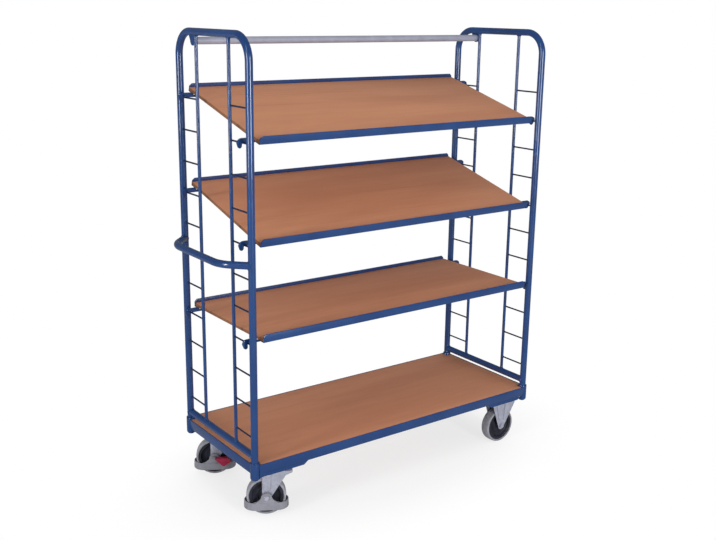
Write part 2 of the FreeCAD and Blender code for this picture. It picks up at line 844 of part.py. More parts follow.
def wheel_tyre(name):
    body = new_body(name)
    inner = wheel_radius - size("tyre_depth")
    half = size("wheel_width") / 2
    shoulder = size("tyre_round")
    crown = size("tyre_crown")
    edge = wheel_radius - crown
    tread = half - shoulder
    crown_radius = (tread * tread + crown * crown) / (crown * 2)
    profile = sketch_on(body, "XY_Plane")
    bead = inner + size("tyre_bead")
    outline(profile, [(inner, -size("hub_width") / 2), (bead, -half),
                      (wheel_radius - shoulder, -half, shoulder), (edge, -tread, crown_radius),
                      (edge, tread, shoulder), (wheel_radius - shoulder, half),
                      (bead, half), (inner, size("hub_width") / 2)])
    revolve(body, profile)
    return body


def axle_bolt(name, low, high):
    # Bolt with a domed head at each end, low and high are its bearing faces
    body = new_body(name)
    head = size("axle_head") / 2
    thick = size("axle_head_thick")
    profile = sketch_on(body, "XY_Plane")
    outline(profile, [(0, low - thick), (head - 4, low - thick), (head, low - thick + 3), (head, low),
                      (axle_radius, low), (axle_radius, high), (head, high),
                      (head, high + thick - 3), (head - 4, high + thick), (0, high + thick)])
    revolve(body, profile)
    return body


# Swivel castor, drawn about its swivel axis with the wheel trailing along minus x
trail = size("castor_trail")


def castor_top_plate(name, turn):
    body = new_body(name)
    half_x = size("plate_length") / 2
    half_y = size("plate_width") / 2
    corner = size("plate_corner")
    plate = sketch_on(body, "XY_Plane", plate_bottom + size("plate_thick") / 2)
    outline(plate, [(corner - half_x, -half_y), (half_x - corner, -half_y, corner),
                    (half_x, corner - half_y), (half_x, half_y - corner, corner),
                    (half_x - corner, half_y), (corner - half_x, half_y, corner),
                    (-half_x, half_y - corner), (-half_x, corner - half_y, corner)])
    pad(body, plate, size("plate_thick"))
    race = size("race_radius")
    seat = fork_top + size("race_gap")
    pin_radius = size("kingpin_outer") / 2
    head = size("kingpin_head") / 2
    under = fork_top - size("fork_thick") - size("race_gap")
    profile = sketch_on(body, "XZ_Plane")
    outline(profile, [(0, under - size("kingpin_head_thick")), (head - 3, under - size("kingpin_head_thick")),
                      (head, under - 3), (head, under), (pin_radius, under), (pin_radius, seat),
                      (race - 5, seat), (race, seat + 4), (race - 4, plate_bottom), (0, plate_bottom)])
    revolve(body, profile)
    drill = sketch_on(body, "XY_Plane", plate_bottom)
    for sx in (-1, 1):
        for sy in (-1, 1):
            circle(drill, sx * size("plate_bolt_x") / 2, sy * size("plate_bolt_y") / 2, size("bolt_hole") / 2)
    pocket(body, drill, size("plate_thick") * 3)
    return place(body, x=shift - castor_x, y=turn * castor_y)


def press_fork(body, top, reach):
    # Hollows the padded side view into two legs and rounds its top edges
    inner = size("fork_inner")
    curve = size("fork_round")
    bend = curve - size("fork_thick") + 1
    roof = top - size("fork_thick")
    hollow = sketch_on(body, "YZ_Plane")
    outline(hollow, [(-inner, 0), (inner, 0), (inner, roof - bend, bend), (inner - bend, roof),
                     (bend - inner, roof, bend), (-inner, roof - bend)])
    pocket(body, hollow, reach)
    edges = sketch_on(body, "YZ_Plane")
    for turn in (-1, 1):
        outline(edges, [(turn * (fork_outer - curve), top, -turn * curve), (turn * fork_outer, top - curve),
                        (turn * (fork_outer + 1), top - curve), (turn * (fork_outer + 1), top + 1),
                        (turn * (fork_outer - curve), top + 1)])
    pocket(body, edges, reach)


def stiffen(body, band):
    # Raised band on the outer face of both legs
    for turn in (-1, 1):
        rib = sketch_on(body, "XZ_Plane", -turn * fork_outer)
        outline(rib, band)
        pad(body, rib, size("fork_rib") * 2)


def swivel_fork(name):
    body = new_body(name)
    tip = size("fork_tip")
    axle = wheel_radius
    side = sketch_on(body, "XZ_Plane")
    outline(side, [(-size("fork_back"), fork_top), (-trail - tip, axle, tip), (-trail, axle - tip, tip),
                   (tip * 0.8 - trail, axle - tip * 0.6), (tip * 2 - 2, fork_top - tip * 1.2),
                   (size("fork_lead"), fork_top - 7), (size("fork_lead"), fork_top)])
    pad(body, side, fork_outer * 2)
    press_fork(body, fork_top, size("wheel_outer") * 3)
    high = fork_top - size("fork_round") - 2
    low = wheel_radius + size("tongue_round") + 4
    edge = size("fork_rib") * 3 - size("fork_back")
    stiffen(body, [(edge, low + 4), (edge + 4, low), (tip * 0.8 - trail, low), (tip - trail, low + 4),
                   (tip * 1.3 - trail, high), (edge, high)])
    bore = sketch_on(body, "XY_Plane", fork_top)
    circle(bore, 0, 0, size("kingpin_outer") / 2 + size("axle_fit"))
    pocket(body, bore, size("fork_thick") * 4)
    axle_bore = sketch_on(body, "XZ_Plane")
    circle(axle_bore, -trail, axle, axle_hole)
    pocket(body, axle_bore, fork_outer * 4)
    return body


def foot_guard(name):
    # Moulded skirt round the wheel with a concave tongue up each side to the axle
    body = new_body(name)
    half_length = size("guard_half_length")
    half_width = size("guard_half_width")
    wall = size("guard_wall")
    low, high = size("guard_bottom"), size("guard_top")
    run = half_length - half_width

    def stadium(sketch, radius):
        outline(sketch, [(run - trail, -radius, radius), (run + radius - trail, 0, radius),
                         (run - trail, radius), (-run - trail, radius, radius),
                         (-run - radius - trail, 0, radius), (-run - trail, -radius)])

    skirt = sketch_on(body, "XY_Plane", (low + high) / 2)
    stadium(skirt, half_width)
    stadium(skirt, half_width - wall)
    pad(body, skirt, high - low)
    base = size("tongue_half_base")
    crown = size("tongue_round")
    sweep = size("tongue_sweep")
    near = fork_outer + size("guard_side_gap")
    far = half_width - wall / 2
    for turn in (-1, 1):
        tongue = sketch_on(body, "XZ_Plane", -turn * (near + far) / 2)
        outline(tongue, [(-base - trail, high - 6), (-base - trail, high, sweep),
                         (-crown - trail, wheel_radius, -crown), (-trail, wheel_radius + crown, -crown),
                         (crown - trail, wheel_radius, sweep), (base - trail, high),
                         (base - trail, high - 6)])
        pad(body, tongue, far - near)
    bore = sketch_on(body, "XZ_Plane")
    circle(bore, -trail, wheel_radius, axle_hole)
    pocket(body, bore, half_width * 4)
    return body


guard_face = size("guard_half_width") - size("guard_wall") / 2
pedal_face = guard_face + size("pedal_side_gap")
pedal_outer = pedal_face + size("pedal_eye_thick")


def brake_pedal(name, turn):
    # Eye on the axle, a flaring arm and a ribbed tread that stands out sideways
    body = new_body(name)
    eye = size("pedal_eye")
    reach, neck = size("pedal_reach"), size("pedal_neck")
    axle = wheel_radius
    ring = sketch_on(body, "XZ_Plane", -turn * (pedal_face + pedal_outer) / 2)
    circle(ring, -trail, axle, eye)
    pad(body, ring, pedal_outer - pedal_face)
    arm_near = size("guard_half_width") + size("pedal_side_gap") * 2
    arm_far = pedal_outer
    belly, drop = size("pedal_belly"), size("pedal_drop")
    arm = sketch_on(body, "XZ_Plane", -turn * (arm_near + arm_far) / 2)
    outline(arm, [(-trail, axle - eye * 0.9), (belly - trail, axle - drop), (reach - trail, axle - eye * 0.4),
                  (reach - eye - trail, axle + eye * 0.7), (-trail, axle + eye * 0.95)])
    pad(body, arm, arm_far - arm_near)
    tread_far = arm_near + size("pedal_tread")
    tread = sketch_on(body, "XZ_Plane", -turn * (arm_near + tread_far) / 2)
    rib = size("pedal_rib")
    outline(tread, [(neck - trail, axle - eye * 1.2), (belly - trail, axle - drop + 2),
                    (reach - 2 - trail, axle - eye * 0.4), (reach - eye - trail, axle + eye * 0.7 + 1),
                    (neck - trail, axle + eye * 0.8 + 1)])
    pad(body, tread, tread_far - arm_near)
    grips = sketch_on(body, "XZ_Plane", -turn * (arm_near + tread_far) / 2)
    count = int(sheet.get("pedal_rib_count"))
    first, last = neck + rib, reach - eye - rib
    high, low = axle + eye * 0.8 + 1, axle + eye * 0.7 + 1
    for index in range(count):
        share = index / (count - 1)
        along = first * (1 - share) + last * share - trail
        height = high * (1 - share) + low * share
        outline(grips, [(along - rib / 2, height - rib / 2), (along + rib / 2, height - rib / 2),
                        (along + rib / 4, height + rib / 3), (along - rib / 4, height + rib / 3)])
    pad(body, grips, (tread_far - arm_near) * 0.8)
    bore = sketch_on(body, "XZ_Plane")
    circle(bore, -trail, axle, axle_hole)
    pocket(body, bore, size("guard_half_width") * 4)
    return body


def at_castor(item, turn, along=None, up=None):
    # Places a piece drawn about the swivel axis, or about the wheel centre when along is given
    angle = math.radians(sheet.get("castor_turn"))
    x = shift - castor_x
    y = turn * castor_y
    if along is not None:
        x = x + along * math.cos(angle)
        y = y + along * math.sin(angle)
    return place(item, x, y, up, turn=size("castor_turn"))


for side, turn in SIDES:
    label = "swivel_%s_" % side
    # The brake pedals stand on the inner sides of the pair
    pedal_side = -turn
    keep(label + "fork", at_castor(swivel_fork(label + "fork"), turn))
    keep(label + "guard", at_castor(foot_guard(label + "guard"), turn))
    keep(label + "pedal", at_castor(brake_pedal(label + "pedal", pedal_side), turn))
    plain, braked = guard_face + weld_gap, pedal_outer + size("pedal_side_gap")
    low, high = (-plain, braked) if pedal_side > 0 else (-braked, plain)
    keep(label + "axle", at_castor(axle_bolt(label + "axle", low, high), turn, -trail, wheel_radius))
    keep(label + "hub", at_castor(wheel_hub(label + "hub"), turn, -trail, wheel_radius))
    keep(label + "tyre", at_castor(wheel_tyre(label + "tyre"), turn, -trail, wheel_radius))
plates = [castor_top_plate("swivel_%s_plate" % side, turn) for side, turn in SIDES]
keep("castor_top_plates", group("castor_top_plates", plates))


# Fixed castors under the other end
def fixed_fork(name, turn):
    body = new_body(name)
    tip = size("fork_tip")
    axle = wheel_radius
    back, lead = size("fixed_back"), size("fixed_lead")
    side = sketch_on(body, "XZ_Plane")
    outline(side, [(-back, plate_bottom), (-back, plate_bottom - 8), (tip * -0.96, axle - tip * 0.28, tip),
                   (0, axle - tip, tip), (tip * 0.9, axle - tip * 0.436), (lead, plate_bottom - 22),
                   (lead, plate_bottom)])
    pad(body, side, fork_outer * 2)
    press_fork(body, plate_bottom, size("wheel_outer") * 3)
    high = plate_bottom - size("fork_round") - 2
    low = axle + tip * 1.6
    stiffen(body, [(tip * -0.8, low), (tip * -0.2, low), (tip * 0.1, high), (back * -0.66, high)])
    stiffen(body, [(tip * 0.5, low), (tip * 1.1, low), (lead * 0.66, high), (lead * 0.26, high)])
    axle_bore = sketch_on(body, "XZ_Plane")
    circle(axle_bore, 0, axle, axle_hole)
    pocket(body, axle_bore, fork_outer * 4)
    half_y = size("fixed_plate_width") / 2
    plate = sketch_on(body, "XY_Plane", plate_bottom + (size("plate_thick") - 1) / 2)
    rectangle(plate, -back, -half_y, lead, half_y)
    pad(body, plate, size("plate_thick") + 1)
    drill = sketch_on(body, "XY_Plane", plate_bottom)
    for along in (-size("fixed_bolt_back"), size("fixed_bolt_lead")):
        for sy in (-1, 1):
            circle(drill, along, sy * size("fixed_bolt_y") / 2, size("bolt_hole") / 2)
    pocket(body, drill, size("plate_thick") * 3)
    return place(body, x=shift + fixed_axle_x, y=turn * castor_y)


def castor_bolt(name, x, y, drop):
    # Bolt from below through plate and pan, with its nut inside the pan
    body = new_body(name)
    shank = size("bolt_outer") / 2
    head = size("bolt_head") / 2
    seat = plate_bottom - weld_gap - drop
    nut = pan_bottom + size("pan_wall") + weld_gap
    profile = sketch_on(body, "XZ_Plane")
    outline(profile, [(0, seat - size("bolt_head_thick")), (head - 1, seat - size("bolt_head_thick")),
                      (head, seat - size("bolt_head_thick") + 1), (head, seat), (shank, seat), (shank, nut),
                      (head, nut), (head, nut + size("bolt_nut_thick")), (0, nut + size("bolt_nut_thick"))])
    revolve(body, profile)
    return place(body, x=shift + x, y=y)


axles = []
for side, turn in SIDES:
    label = "fixed_%s_" % side
    keep(label + "fork", fixed_fork(label + "fork", turn))
    spot = (shift + fixed_axle_x, turn * castor_y, wheel_radius)
    bolt = axle_bolt(label + "axle", -fork_outer - weld_gap, fork_outer + weld_gap)
    axles.append(place(bolt, *spot))
    keep(label + "hub", place(wheel_hub(label + "hub"), *spot))
    keep(label + "tyre", place(wheel_tyre(label + "tyre"), *spot))
keep("fixed_axles", group("fixed_axles", axles))
bolts = [castor_bolt("swivel_bolt_%d" % n, x, y, dim(0)) for n, (x, y) in enumerate(swivel_holes)]
bolts += [castor_bolt("fixed_bolt_%d" % n, x, y, dim(1)) for n, (x, y) in enumerate(fixed_holes)]
keep("castor_bolts", group("castor_bolts", bolts))

# Every object must have built, then each node is written as its own file
doc.recompute()
for item in doc.Objects:
    if "Invalid" in item.State or "Error" in item.State:
        raise RuntimeError("%s did not build: %s" % (item.Name, item.State))
os.makedirs("parts", exist_ok=True)
for name, item in nodes.items():
    shape = item.Shape
    if shape.isNull() or not shape.isValid():
        raise RuntimeError("%s has no valid shape" % name)
    item.Label = name
    shape.exportStep("parts/%s.step" % name)
print("%d nodes written" % len(nodes))
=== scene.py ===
# %% [markdown]
# A shelf trolley, dressed for its picture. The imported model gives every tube, board and wheel its
# place, so this lesson starts by loading it. Nothing that it holds is moved. Pieces whose edges
# need more care than the solids have are drawn again here, and each one says which solid it stands for.

# %% Load the frame
import math

import bpy
import numpy as np
from mathutils import Matrix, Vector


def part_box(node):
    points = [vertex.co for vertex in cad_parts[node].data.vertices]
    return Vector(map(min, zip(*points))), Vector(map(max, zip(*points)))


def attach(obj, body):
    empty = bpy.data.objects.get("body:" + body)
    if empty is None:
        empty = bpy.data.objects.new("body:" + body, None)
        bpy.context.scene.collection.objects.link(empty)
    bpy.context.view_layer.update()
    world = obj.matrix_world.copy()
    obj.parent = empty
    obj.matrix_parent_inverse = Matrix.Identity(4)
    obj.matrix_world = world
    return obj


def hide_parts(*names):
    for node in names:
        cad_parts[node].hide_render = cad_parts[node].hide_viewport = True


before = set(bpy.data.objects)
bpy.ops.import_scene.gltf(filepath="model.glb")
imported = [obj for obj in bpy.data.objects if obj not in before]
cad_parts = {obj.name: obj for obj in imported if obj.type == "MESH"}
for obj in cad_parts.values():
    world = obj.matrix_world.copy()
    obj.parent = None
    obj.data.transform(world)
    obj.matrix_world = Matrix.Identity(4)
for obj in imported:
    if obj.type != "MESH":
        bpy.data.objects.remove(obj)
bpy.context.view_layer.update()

# %% [markdown]
# Sizes come from the boxes of the loaded nodes wherever a box can tell them, so that a change in
# the model carries over. The rest are the plain sizes of the real parts, in metres. Tubes, bars,
# rungs and wheels are given by their radius.

# %% Sizes of the trolley


def middle(node):
    """Centre of a node's box."""
    low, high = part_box(node)
    return (np.array(low) + np.array(high)) / 2


TUBE = 0.0125
BAR = 0.006
RUNG = 0.003
RUNG_PITCH = 0.110
RUNG_TOP = 1.4235
RUNG_COUNT = 11
RUNG_HEIGHTS = RUNG_TOP - RUNG_PITCH * np.arange(RUNG_COUNT)
MID_X = middle("tie_tube")[0]
POST_X = middle("end_tube_right")[0] - MID_X
POST_Y = 0.236
BAR_Y = 0.110
HOOP_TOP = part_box("end_tube_left")[1][2] - TUBE
HOOP_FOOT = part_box("end_tube_left")[0][2]
HOOP_BEND = 0.080
CROSS_Z = middle("cross_bar_left")[2]
HANDLE_Z = middle("push_handle")[2]
HANDLE_REACH = 0.076
HANDLE_BEND = 0.100
TIE = middle("tie_tube")
DECK_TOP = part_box("deck_board")[1][2]
DECK_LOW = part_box("deck_board")[0][2]
RAIL_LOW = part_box("base_rail_front")[0][2]
BASE_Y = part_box("base_rail_back")[1][1]
WHEEL = 0.070
ENDS = (("left", -1), ("right", 1))
SIDES = (("front", -1), ("back", 1))
print("post", POST_X, POST_Y, "hoop", HOOP_TOP, "deck", DECK_TOP)

# %% [markdown]
# Shader maths reads best as plain arithmetic. One small class holds an output socket of a node
# tree. Adding or multiplying two of them adds a Math node, and its method node makes any other
# kind: settings first, then what goes into its sockets.

# %% A socket with arithmetic


class Wire:
    """One output socket of a material's node tree."""

    def __init__(self, tree, socket=None):
        self.tree = tree
        self.socket = socket

    def node(self, kind, settings=None, sockets=None, out=0):
        """A new node: its settings first, then values or links for its sockets."""
        made = self.tree.nodes.new(kind)
        for key, value in (settings or {}).items():
            setattr(made, key, value)
        for key, value in (sockets or {}).items():
            if isinstance(value, Wire):
                self.tree.links.new(value.socket, made.inputs[key])
            else:
                made.inputs[key].default_value = value
        return Wire(self.tree, made.outputs[out])

    def maths(self, operation, first, second):
        return self.node("ShaderNodeMath", {"operation": operation}, {0: first, 1: second})

    def __add__(self, other):
        return self.maths("ADD", self, other)

    def __radd__(self, other):
        return self.maths("ADD", other, self)

    def __sub__(self, other):
        return self.maths("SUBTRACT", self, other)

    def __rsub__(self, other):
        return self.maths("SUBTRACT", other, self)

    def __mul__(self, other):
        return self.maths("MULTIPLY", self, other)

    def __rmul__(self, other):
        return self.maths("MULTIPLY", other, self)

    def noise(self, scale, detail=3.0, rough=0.55):
        settings = {"noise_dimensions": "3D"}
        sockets = {"Vector": self, "Scale": scale, "Detail": detail, "Roughness": rough}
        return self.node("ShaderNodeTexNoise", settings, sockets)

    def stretched(self, x, y, z):
        return self.node("ShaderNodeMapping", {}, {"Vector": self, "Scale": (x, y, z)})

    def band(self, low, high):
        """0 below low, 1 above high, smooth between."""
        settings = {"interpolation_type": "SMOOTHSTEP"}
        return self.node("ShaderNodeMapRange", settings, {0: self, 1: low, 2: high})

    def tint(self, first, second):
        """Mix of two colours, with this value as the share of the second."""
        settings = {"data_type": "RGBA", "blend_type": "MIX"}
        return self.node("ShaderNodeMix", settings, {0: self, 6: first, 7: second}, out=2)

    def bump(self, strength, distance):
        sockets = {"Strength": strength, "Distance": distance, "Height": self}
        return self.node("ShaderNodeBump", {}, sockets)


def rgb(red, green, blue):
    """A colour given as it looks on a screen, 0 to 255, in linear light."""
    share = np.array([red, green, blue]) / 255.0
    linear = np.where(share <= 0.04045, share / 12.92, ((share + 0.055) / 1.055) ** 2.4)
    return (*map(float, linear), 1.0)


def empty_material(name):
    """A new material and its node tree, with no node in it yet."""
    material = bpy.data.materials.new(name)
    material.use_nodes = True
    material.node_tree.nodes.clear()
    return material, material.node_tree


def finish(name, build, **constants):
    """A material: build gets the object coordinates and returns what feeds the shader's sockets."""
    material, tree = empty_material(name)
    place = Wire(tree).node("ShaderNodeTexCoord", out=3)
    shader = tree.nodes.new("ShaderNodeBsdfPrincipled")
    output = tree.nodes.new("ShaderNodeOutputMaterial")
    tree.links.new(shader.outputs[0], output.inputs[0])
    for socket, value in constants.items():
        shader.inputs[socket.replace("_", " ")].default_value = value
    for socket, wire in build(place).items():
        tree.links.new(wire.socket, shader.inputs[socket])
    return material


# %% [markdown]
# The frame is powder coated steel. Powder melts into a film that is never quite flat, so the
# surface has a fine orange peel, and the colour drifts a little from thin to thick film.
# The bump is far below a millimetre: it shows only where a highlight runs along a tube. The two
# tones of the film are given from outside. The rungs get a darker copy of the same coat, which is
# painted shade: thin rungs of the same blue look darker than the tubes in this light.

# %% Powder coat


def powder_coat(thin_film, thick_film):
    """The coat's build function, for a film that runs between two tones."""
    def build(place):
        drift = place.noise(6.0, 2.0)
        peel = place.noise(620.0, 2.0, 0.45)
        grain = place.noise(2400.0, 1.0)
        return {"Base Color": drift.band(0.30, 0.72).tint(thin_film, thick_film),
                "Roughness": 0.16 + 0.08 * drift + 0.03 * grain,
                "Normal": (peel + 0.25 * grain).bump(0.06, 0.0005)}
    return build


PAINT = finish("blue_powder_coat", powder_coat(rgb(17, 51, 100), rgb(22, 58, 109)),
               Coat_Weight=0.62, Coat_Roughness=0.06)
# Painted shade: the rungs' coat is a darker copy of the tube coat, for thin rungs that look darker in this
# light.
SHADED_RUNG_PAINT = finish("rung_coat_painted_shade", powder_coat(rgb(11, 27, 56), rgb(14, 31, 62)),
                    Coat_Weight=0.20, Coat_Roughness=0.12)
print("made", PAINT.name, SHADED_RUNG_PAINT.name)

# %% [markdown]
# The boards are wood panels with a brown decor film. The print is a quiet grain that runs along
# the shelf: long soft streaks, a few darker lines, and tiny pores. Stretching a noise along x
# gives all three, each at its own width.

# %% Wood board


def wood_film(place):
    broad = place.stretched(0.9, 7.0, 7.0).noise(1.6, 3.0)
    streak = place.stretched(1.3, 60.0, 60.0).noise(1.5, 4.0, 0.6)
    pore = place.stretched(9.0, 420.0, 420.0).noise(1.4, 2.0)
    line = streak.band(0.56, 0.74)
    base = broad.band(0.28, 0.72).tint(rgb(172, 117, 88), rgb(181, 126, 95))
    grained = (0.30 * line).tint(base, rgb(154, 101, 74))
    colour = (0.25 * pore.band(0.60, 0.72)).tint(grained, rgb(140, 87, 60))
    return {"Base Color": colour,
            "Roughness": 0.62 + 0.12 * streak,
            "Normal": (pore + 0.5 * streak).bump(0.06, 0.0004)}


def edge_band(place):
    streak = place.stretched(1.0, 1.0, 40.0).noise(60.0, 3.0)
    colour = streak.band(0.3, 0.7).tint(rgb(112, 74, 50), rgb(138, 94, 66))
    return {"Base Color": colour, "Roughness": 0.5 + 0.15 * streak, "Normal": streak.bump(0.08, 0.0003)}


BOARD = finish("brown_decor_board", wood_film, Specular_IOR_Level=0.22)
EDGE = finish("brown_edge_band", edge_band, Specular_IOR_Level=0.3)
print("made", BOARD.name, EDGE.name)

# %% [markdown]
# The tie tube and the castor forks are zinc plated. Plated sheet shows a soft cloudy spangle and
# fine lines from the press tools. A metal mostly mirrors the studio, so small changes in
# roughness say more than changes in colour.

# %% Zinc plate


def zinc_tube(place):
    cloud = place.noise(26.0, 3.0)
    drawn = place.stretched(2.0, 700.0, 700.0).noise(1.0, 2.0)
    colour = cloud.band(0.3, 0.7).tint(rgb(146, 148, 165), rgb(157, 159, 175))
    return {"Base Color": colour,
            "Roughness": 0.40 + 0.08 * cloud + 0.06 * drawn,
            "Normal": drawn.bump(0.02, 0.0002)}


def zinc_sheet(place):
    cloud = place.noise(42.0, 3.0)
    cells = {"Vector": place, "Scale": 130.0}
    spangle = place.node("ShaderNodeTexVoronoi", {"feature": "F1"}, cells, out=1)
    grey = spangle.node("ShaderNodeSeparateColor", {}, {0: spangle})
    fine = place.noise(900.0, 2.0)
    colour = (0.75 * cloud + 0.25 * grey).band(0.2, 0.8).tint(rgb(165, 167, 183), rgb(183, 186, 201))
    return {"Base Color": colour,
            "Roughness": 0.34 + 0.12 * cloud + 0.06 * grey,
            "Normal": fine.bump(0.05, 0.0003)}


ZINC_TUBE = finish("zinc_drawn_tube", zinc_tube, Metallic=0.25)
ZINC = finish("zinc_pressed_sheet", zinc_sheet, Metallic=0.45)
print("made", ZINC_TUBE.name, ZINC.name)

# %% [markdown]
# Castors mix four mouldings. The tyre is grey rubber with a dull, slightly dusty skin. The hub is
# black plastic with a faint flow pattern, the guard is a pale grey one with a fine eroded texture,
# and the pedal is a glossier red. The three plastics differ only in tones, grain and gloss, so one
# function builds them all.

# %% Rubber and mouldings


def grey_rubber(place):
    dust = place.noise(70.0, 4.0)
    skin = place.noise(1500.0, 2.0)
    colour = dust.band(0.35, 0.75).tint(rgb(126, 126, 134), rgb(146, 146, 154))
    return {"Base Color": colour, "Roughness": 0.62 + 0.2 * dust, "Normal": skin.bump(0.15, 0.0005)}


def moulding(dark, pale, flow_scale, texture_scale, rough, spread, bump):
    """Build function of a plastic: flow marks between two tones, over a fine bumpy texture."""
    def build(place):
        flow = place.noise(flow_scale, 3.0)
        texture = place.noise(texture_scale, 2.0)
        return {"Base Color": flow.band(0.3, 0.7).tint(dark, pale),
                "Roughness": rough + spread * flow, "Normal": texture.bump(*bump)}
    return build


RUBBER = finish("grey_tyre_rubber", grey_rubber)
BLACK = finish("black_hub_moulding", moulding(rgb(24, 25, 36), rgb(35, 37, 53), 45.0, 1300.0,
                                              0.42, 0.16, (0.10, 0.0004)))
GUARD = finish("grey_guard_moulding", moulding(rgb(114, 114, 123), rgb(126, 126, 135), 30.0, 1100.0,
                                               0.46, 0.12, (0.14, 0.0005)))
RED = finish("red_pedal_moulding", moulding(rgb(142, 21, 54), rgb(160, 31, 68), 40.0, 1400.0,
                                            0.30, 0.12, (0.08, 0.0004)))
print("made", RUBBER.name, BLACK.name, GUARD.name, RED.name)

# %% [markdown]
# A piece is a closed skin of quads with flat caps. All its points are worked out at once as an
# array. The volume that the skin encloses has a sign, and that sign tells whether the faces look
# outwards, so every shape can be put right without looking at it.

# %% Shapes as arrays


def grid_quads(rows, cols, wrap_rows=False, wrap_cols=True):
    """Quads between neighbouring points of a rows by cols grid, joined round where asked."""
    i, j = np.meshgrid(np.arange(rows if wrap_rows else rows - 1),
                       np.arange(cols if wrap_cols else cols - 1), indexing="ij")
    below, right = (i + 1) % rows, (j + 1) % cols
    corners = [i * cols + j, i * cols + right, below * cols + right, below * cols + j]
    return np.stack(corners, -1).reshape(-1, 4)


def volume(points, quads, caps):
    """Signed volume: a sum over triangles of the product of their three corners."""
    fans = [np.array([(cap[0], b, c) for b, c in zip(cap[1:-1], cap[2:])]) for cap in caps]
    triangles = np.concatenate([quads[:, [0, 1, 2]], quads[:, [0, 2, 3]], *fans])
    a, b, c = (points[triangles[:, k]] for k in range(3))
    return float(np.einsum("ij,ij->i", a, np.cross(b, c)).sum() / 6)


def skin(points, quads, caps=()):
    """A shape with its faces outwards."""
    points = np.asarray(points, float).reshape(-1, 3)
    caps = [list(map(int, cap)) for cap in caps]
    centred = points - points.mean(0)
    if volume(centred, quads, caps) < 0:
        quads = quads[:, ::-1]
        caps = [cap[::-1] for cap in caps]
    return points, quads, caps


def join(shapes):
    """Several shapes as one, with their indices counted on."""
    points, quads, caps, start = [], [], [], 0
    for p, q, c in shapes:
        points.append(p)
        quads.append(q + start)
        caps += [[k + start for k in cap] for cap in c]
        start += len(p)
    return np.concatenate(points), np.concatenate(quads), caps


def added(name, data):
    """A new object with this data, in the scene."""
    made = bpy.data.objects.new(name, data)
    bpy.context.scene.collection.objects.link(made)
    return made


def piece(name, shape, body, material, stands_for=(), sharp=38):
    """Puts a shape into the scene as an object at the origin that rides on a body."""
    points, quads, caps = shape
    mesh = bpy.data.meshes.new(name)
    mesh.from_pydata(points.tolist(), [], quads.tolist() + caps)
    mesh.polygons.foreach_set("use_smooth", np.ones(len(mesh.polygons), bool))
    mesh.set_sharp_from_angle(angle=math.radians(sharp))
    mesh.materials.append(material)
    made = added(name, mesh)
    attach(made, body)
    if stands_for:
        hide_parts(*stands_for)
    return made


# %% [markdown]
# Three ways of making a skin cover most of the trolley. A tube is a circle carried along a path that
# lies in a plane. A turned piece is a profile spun about an axis. A plate is an outline given a
# thickness, with its rim rounded over, because no cut or rolled edge is perfectly sharp.

# %% Tube, turned piece and plate


def unit(vector):
    """The same direction with length one."""
    vector = np.asarray(vector, float)
    return vector / np.linalg.norm(vector, axis=-1, keepdims=True)


def turn_angles(count):
    """Equal steps once round, in radians."""
    return np.linspace(0, 2 * math.pi, count, endpoint=False)


def tube(path, radius, across, sides=28):
    """P(s, a) = path(s) + r(s) (cos a n(s) + sin a b): b is across, square to the path's plane."""
    path = np.asarray(path, float)
    along = unit(np.gradient(path, axis=0))
    b = unit(across)
    n = unit(np.cross(along, b))
    a = turn_angles(sides)
    r = np.broadcast_to(np.asarray(radius, float), len(path))[:, None, None]
    rim = np.cos(a)[None, :, None] * n[:, None] + np.sin(a)[None, :, None] * b
    points = path[:, None] + r * rim
    first, last = np.arange(sides), np.arange(sides) + (len(path) - 1) * sides
    return skin(points, grid_quads(len(path), sides), [first[::-1], last])


def side_vectors(axis):
    """Two unit vectors square to an axis and to each other."""
    axis = unit(axis)
    helper = np.array([1.0, 0, 0]) if abs(axis[0]) < 0.8 else np.array([0, 1.0, 0])
    u = unit(np.cross(axis, helper))
    return u, np.cross(axis, u)


def turned(profile, origin, axis, sides=48, closed=False):
    """P(t, a) = origin + h(t) axis + r(t) (cos a u + sin a v), for a profile of (r, h) points."""
    profile = np.asarray(profile, float)
    axis = unit(axis)
    u, v = side_vectors(axis)
    a = turn_angles(sides)
    rim = np.cos(a)[:, None] * u + np.sin(a)[:, None] * v
    points = np.asarray(origin) + profile[:, None, 1:] * axis + profile[:, None, :1] * rim[None]
    quads = grid_quads(len(profile), sides, wrap_rows=closed)
    caps = []
    if not closed:
        first, last = np.arange(sides), np.arange(sides) + (len(profile) - 1) * sides
        caps = [first[::-1], last]
    return skin(points, quads, caps)


def inset(outline, distance):
    """Outline moved inwards: each corner goes along the mean of its two edge normals."""
    edge = unit(np.roll(outline, -1, 0) - outline)
    normal = np.stack([-edge[:, 1], edge[:, 0]], -1)
    before = np.roll(normal, 1, 0)
    mean = normal + before
    return outline + distance * mean / (1 + (normal * before).sum(1))[:, None].clip(0.2)


def plate(outline, low, high, origin, u, v, w, round_over=0.0008):
    """P = origin + p u + q v + h w: the outline at six heights, drawn in by a quarter circle
    near both faces, with the faces as flat caps."""
    outline = np.asarray(outline, float)
    x, y = outline.T
    if (x * np.roll(y, -1) - np.roll(x, -1) * y).sum() < 0:
        outline = outline[::-1]
    lean = np.linspace(0, math.pi / 2, 3)
    rings = [(low + round_over * (1 - math.sin(t)), round_over * (1 - math.cos(t))) for t in lean[::-1]]
    rings += [(high - round_over * (1 - math.sin(t)), round_over * (1 - math.cos(t))) for t in lean]
    u, v, w = (np.asarray(k, float) for k in (u, v, w))
    points = [np.asarray(origin) + np.outer(ring[:, 0], u) + np.outer(ring[:, 1], v) + h * w
              for h, ring in ((h, inset(outline, d)) for h, d in rings)]
    count = len(outline)
    first, last = np.arange(count), np.arange(count) + (len(rings) - 1) * count
    return skin(np.stack(points), grid_quads(len(rings), count), [first[::-1], last])


def arc(cx, cy, r, start, end, count=9):
    """Points on a circle from one angle to another, in degrees."""
    a = np.radians(np.linspace(start, end, count))
    return np.stack([cx + r * np.cos(a), cy + r * np.sin(a)], -1)


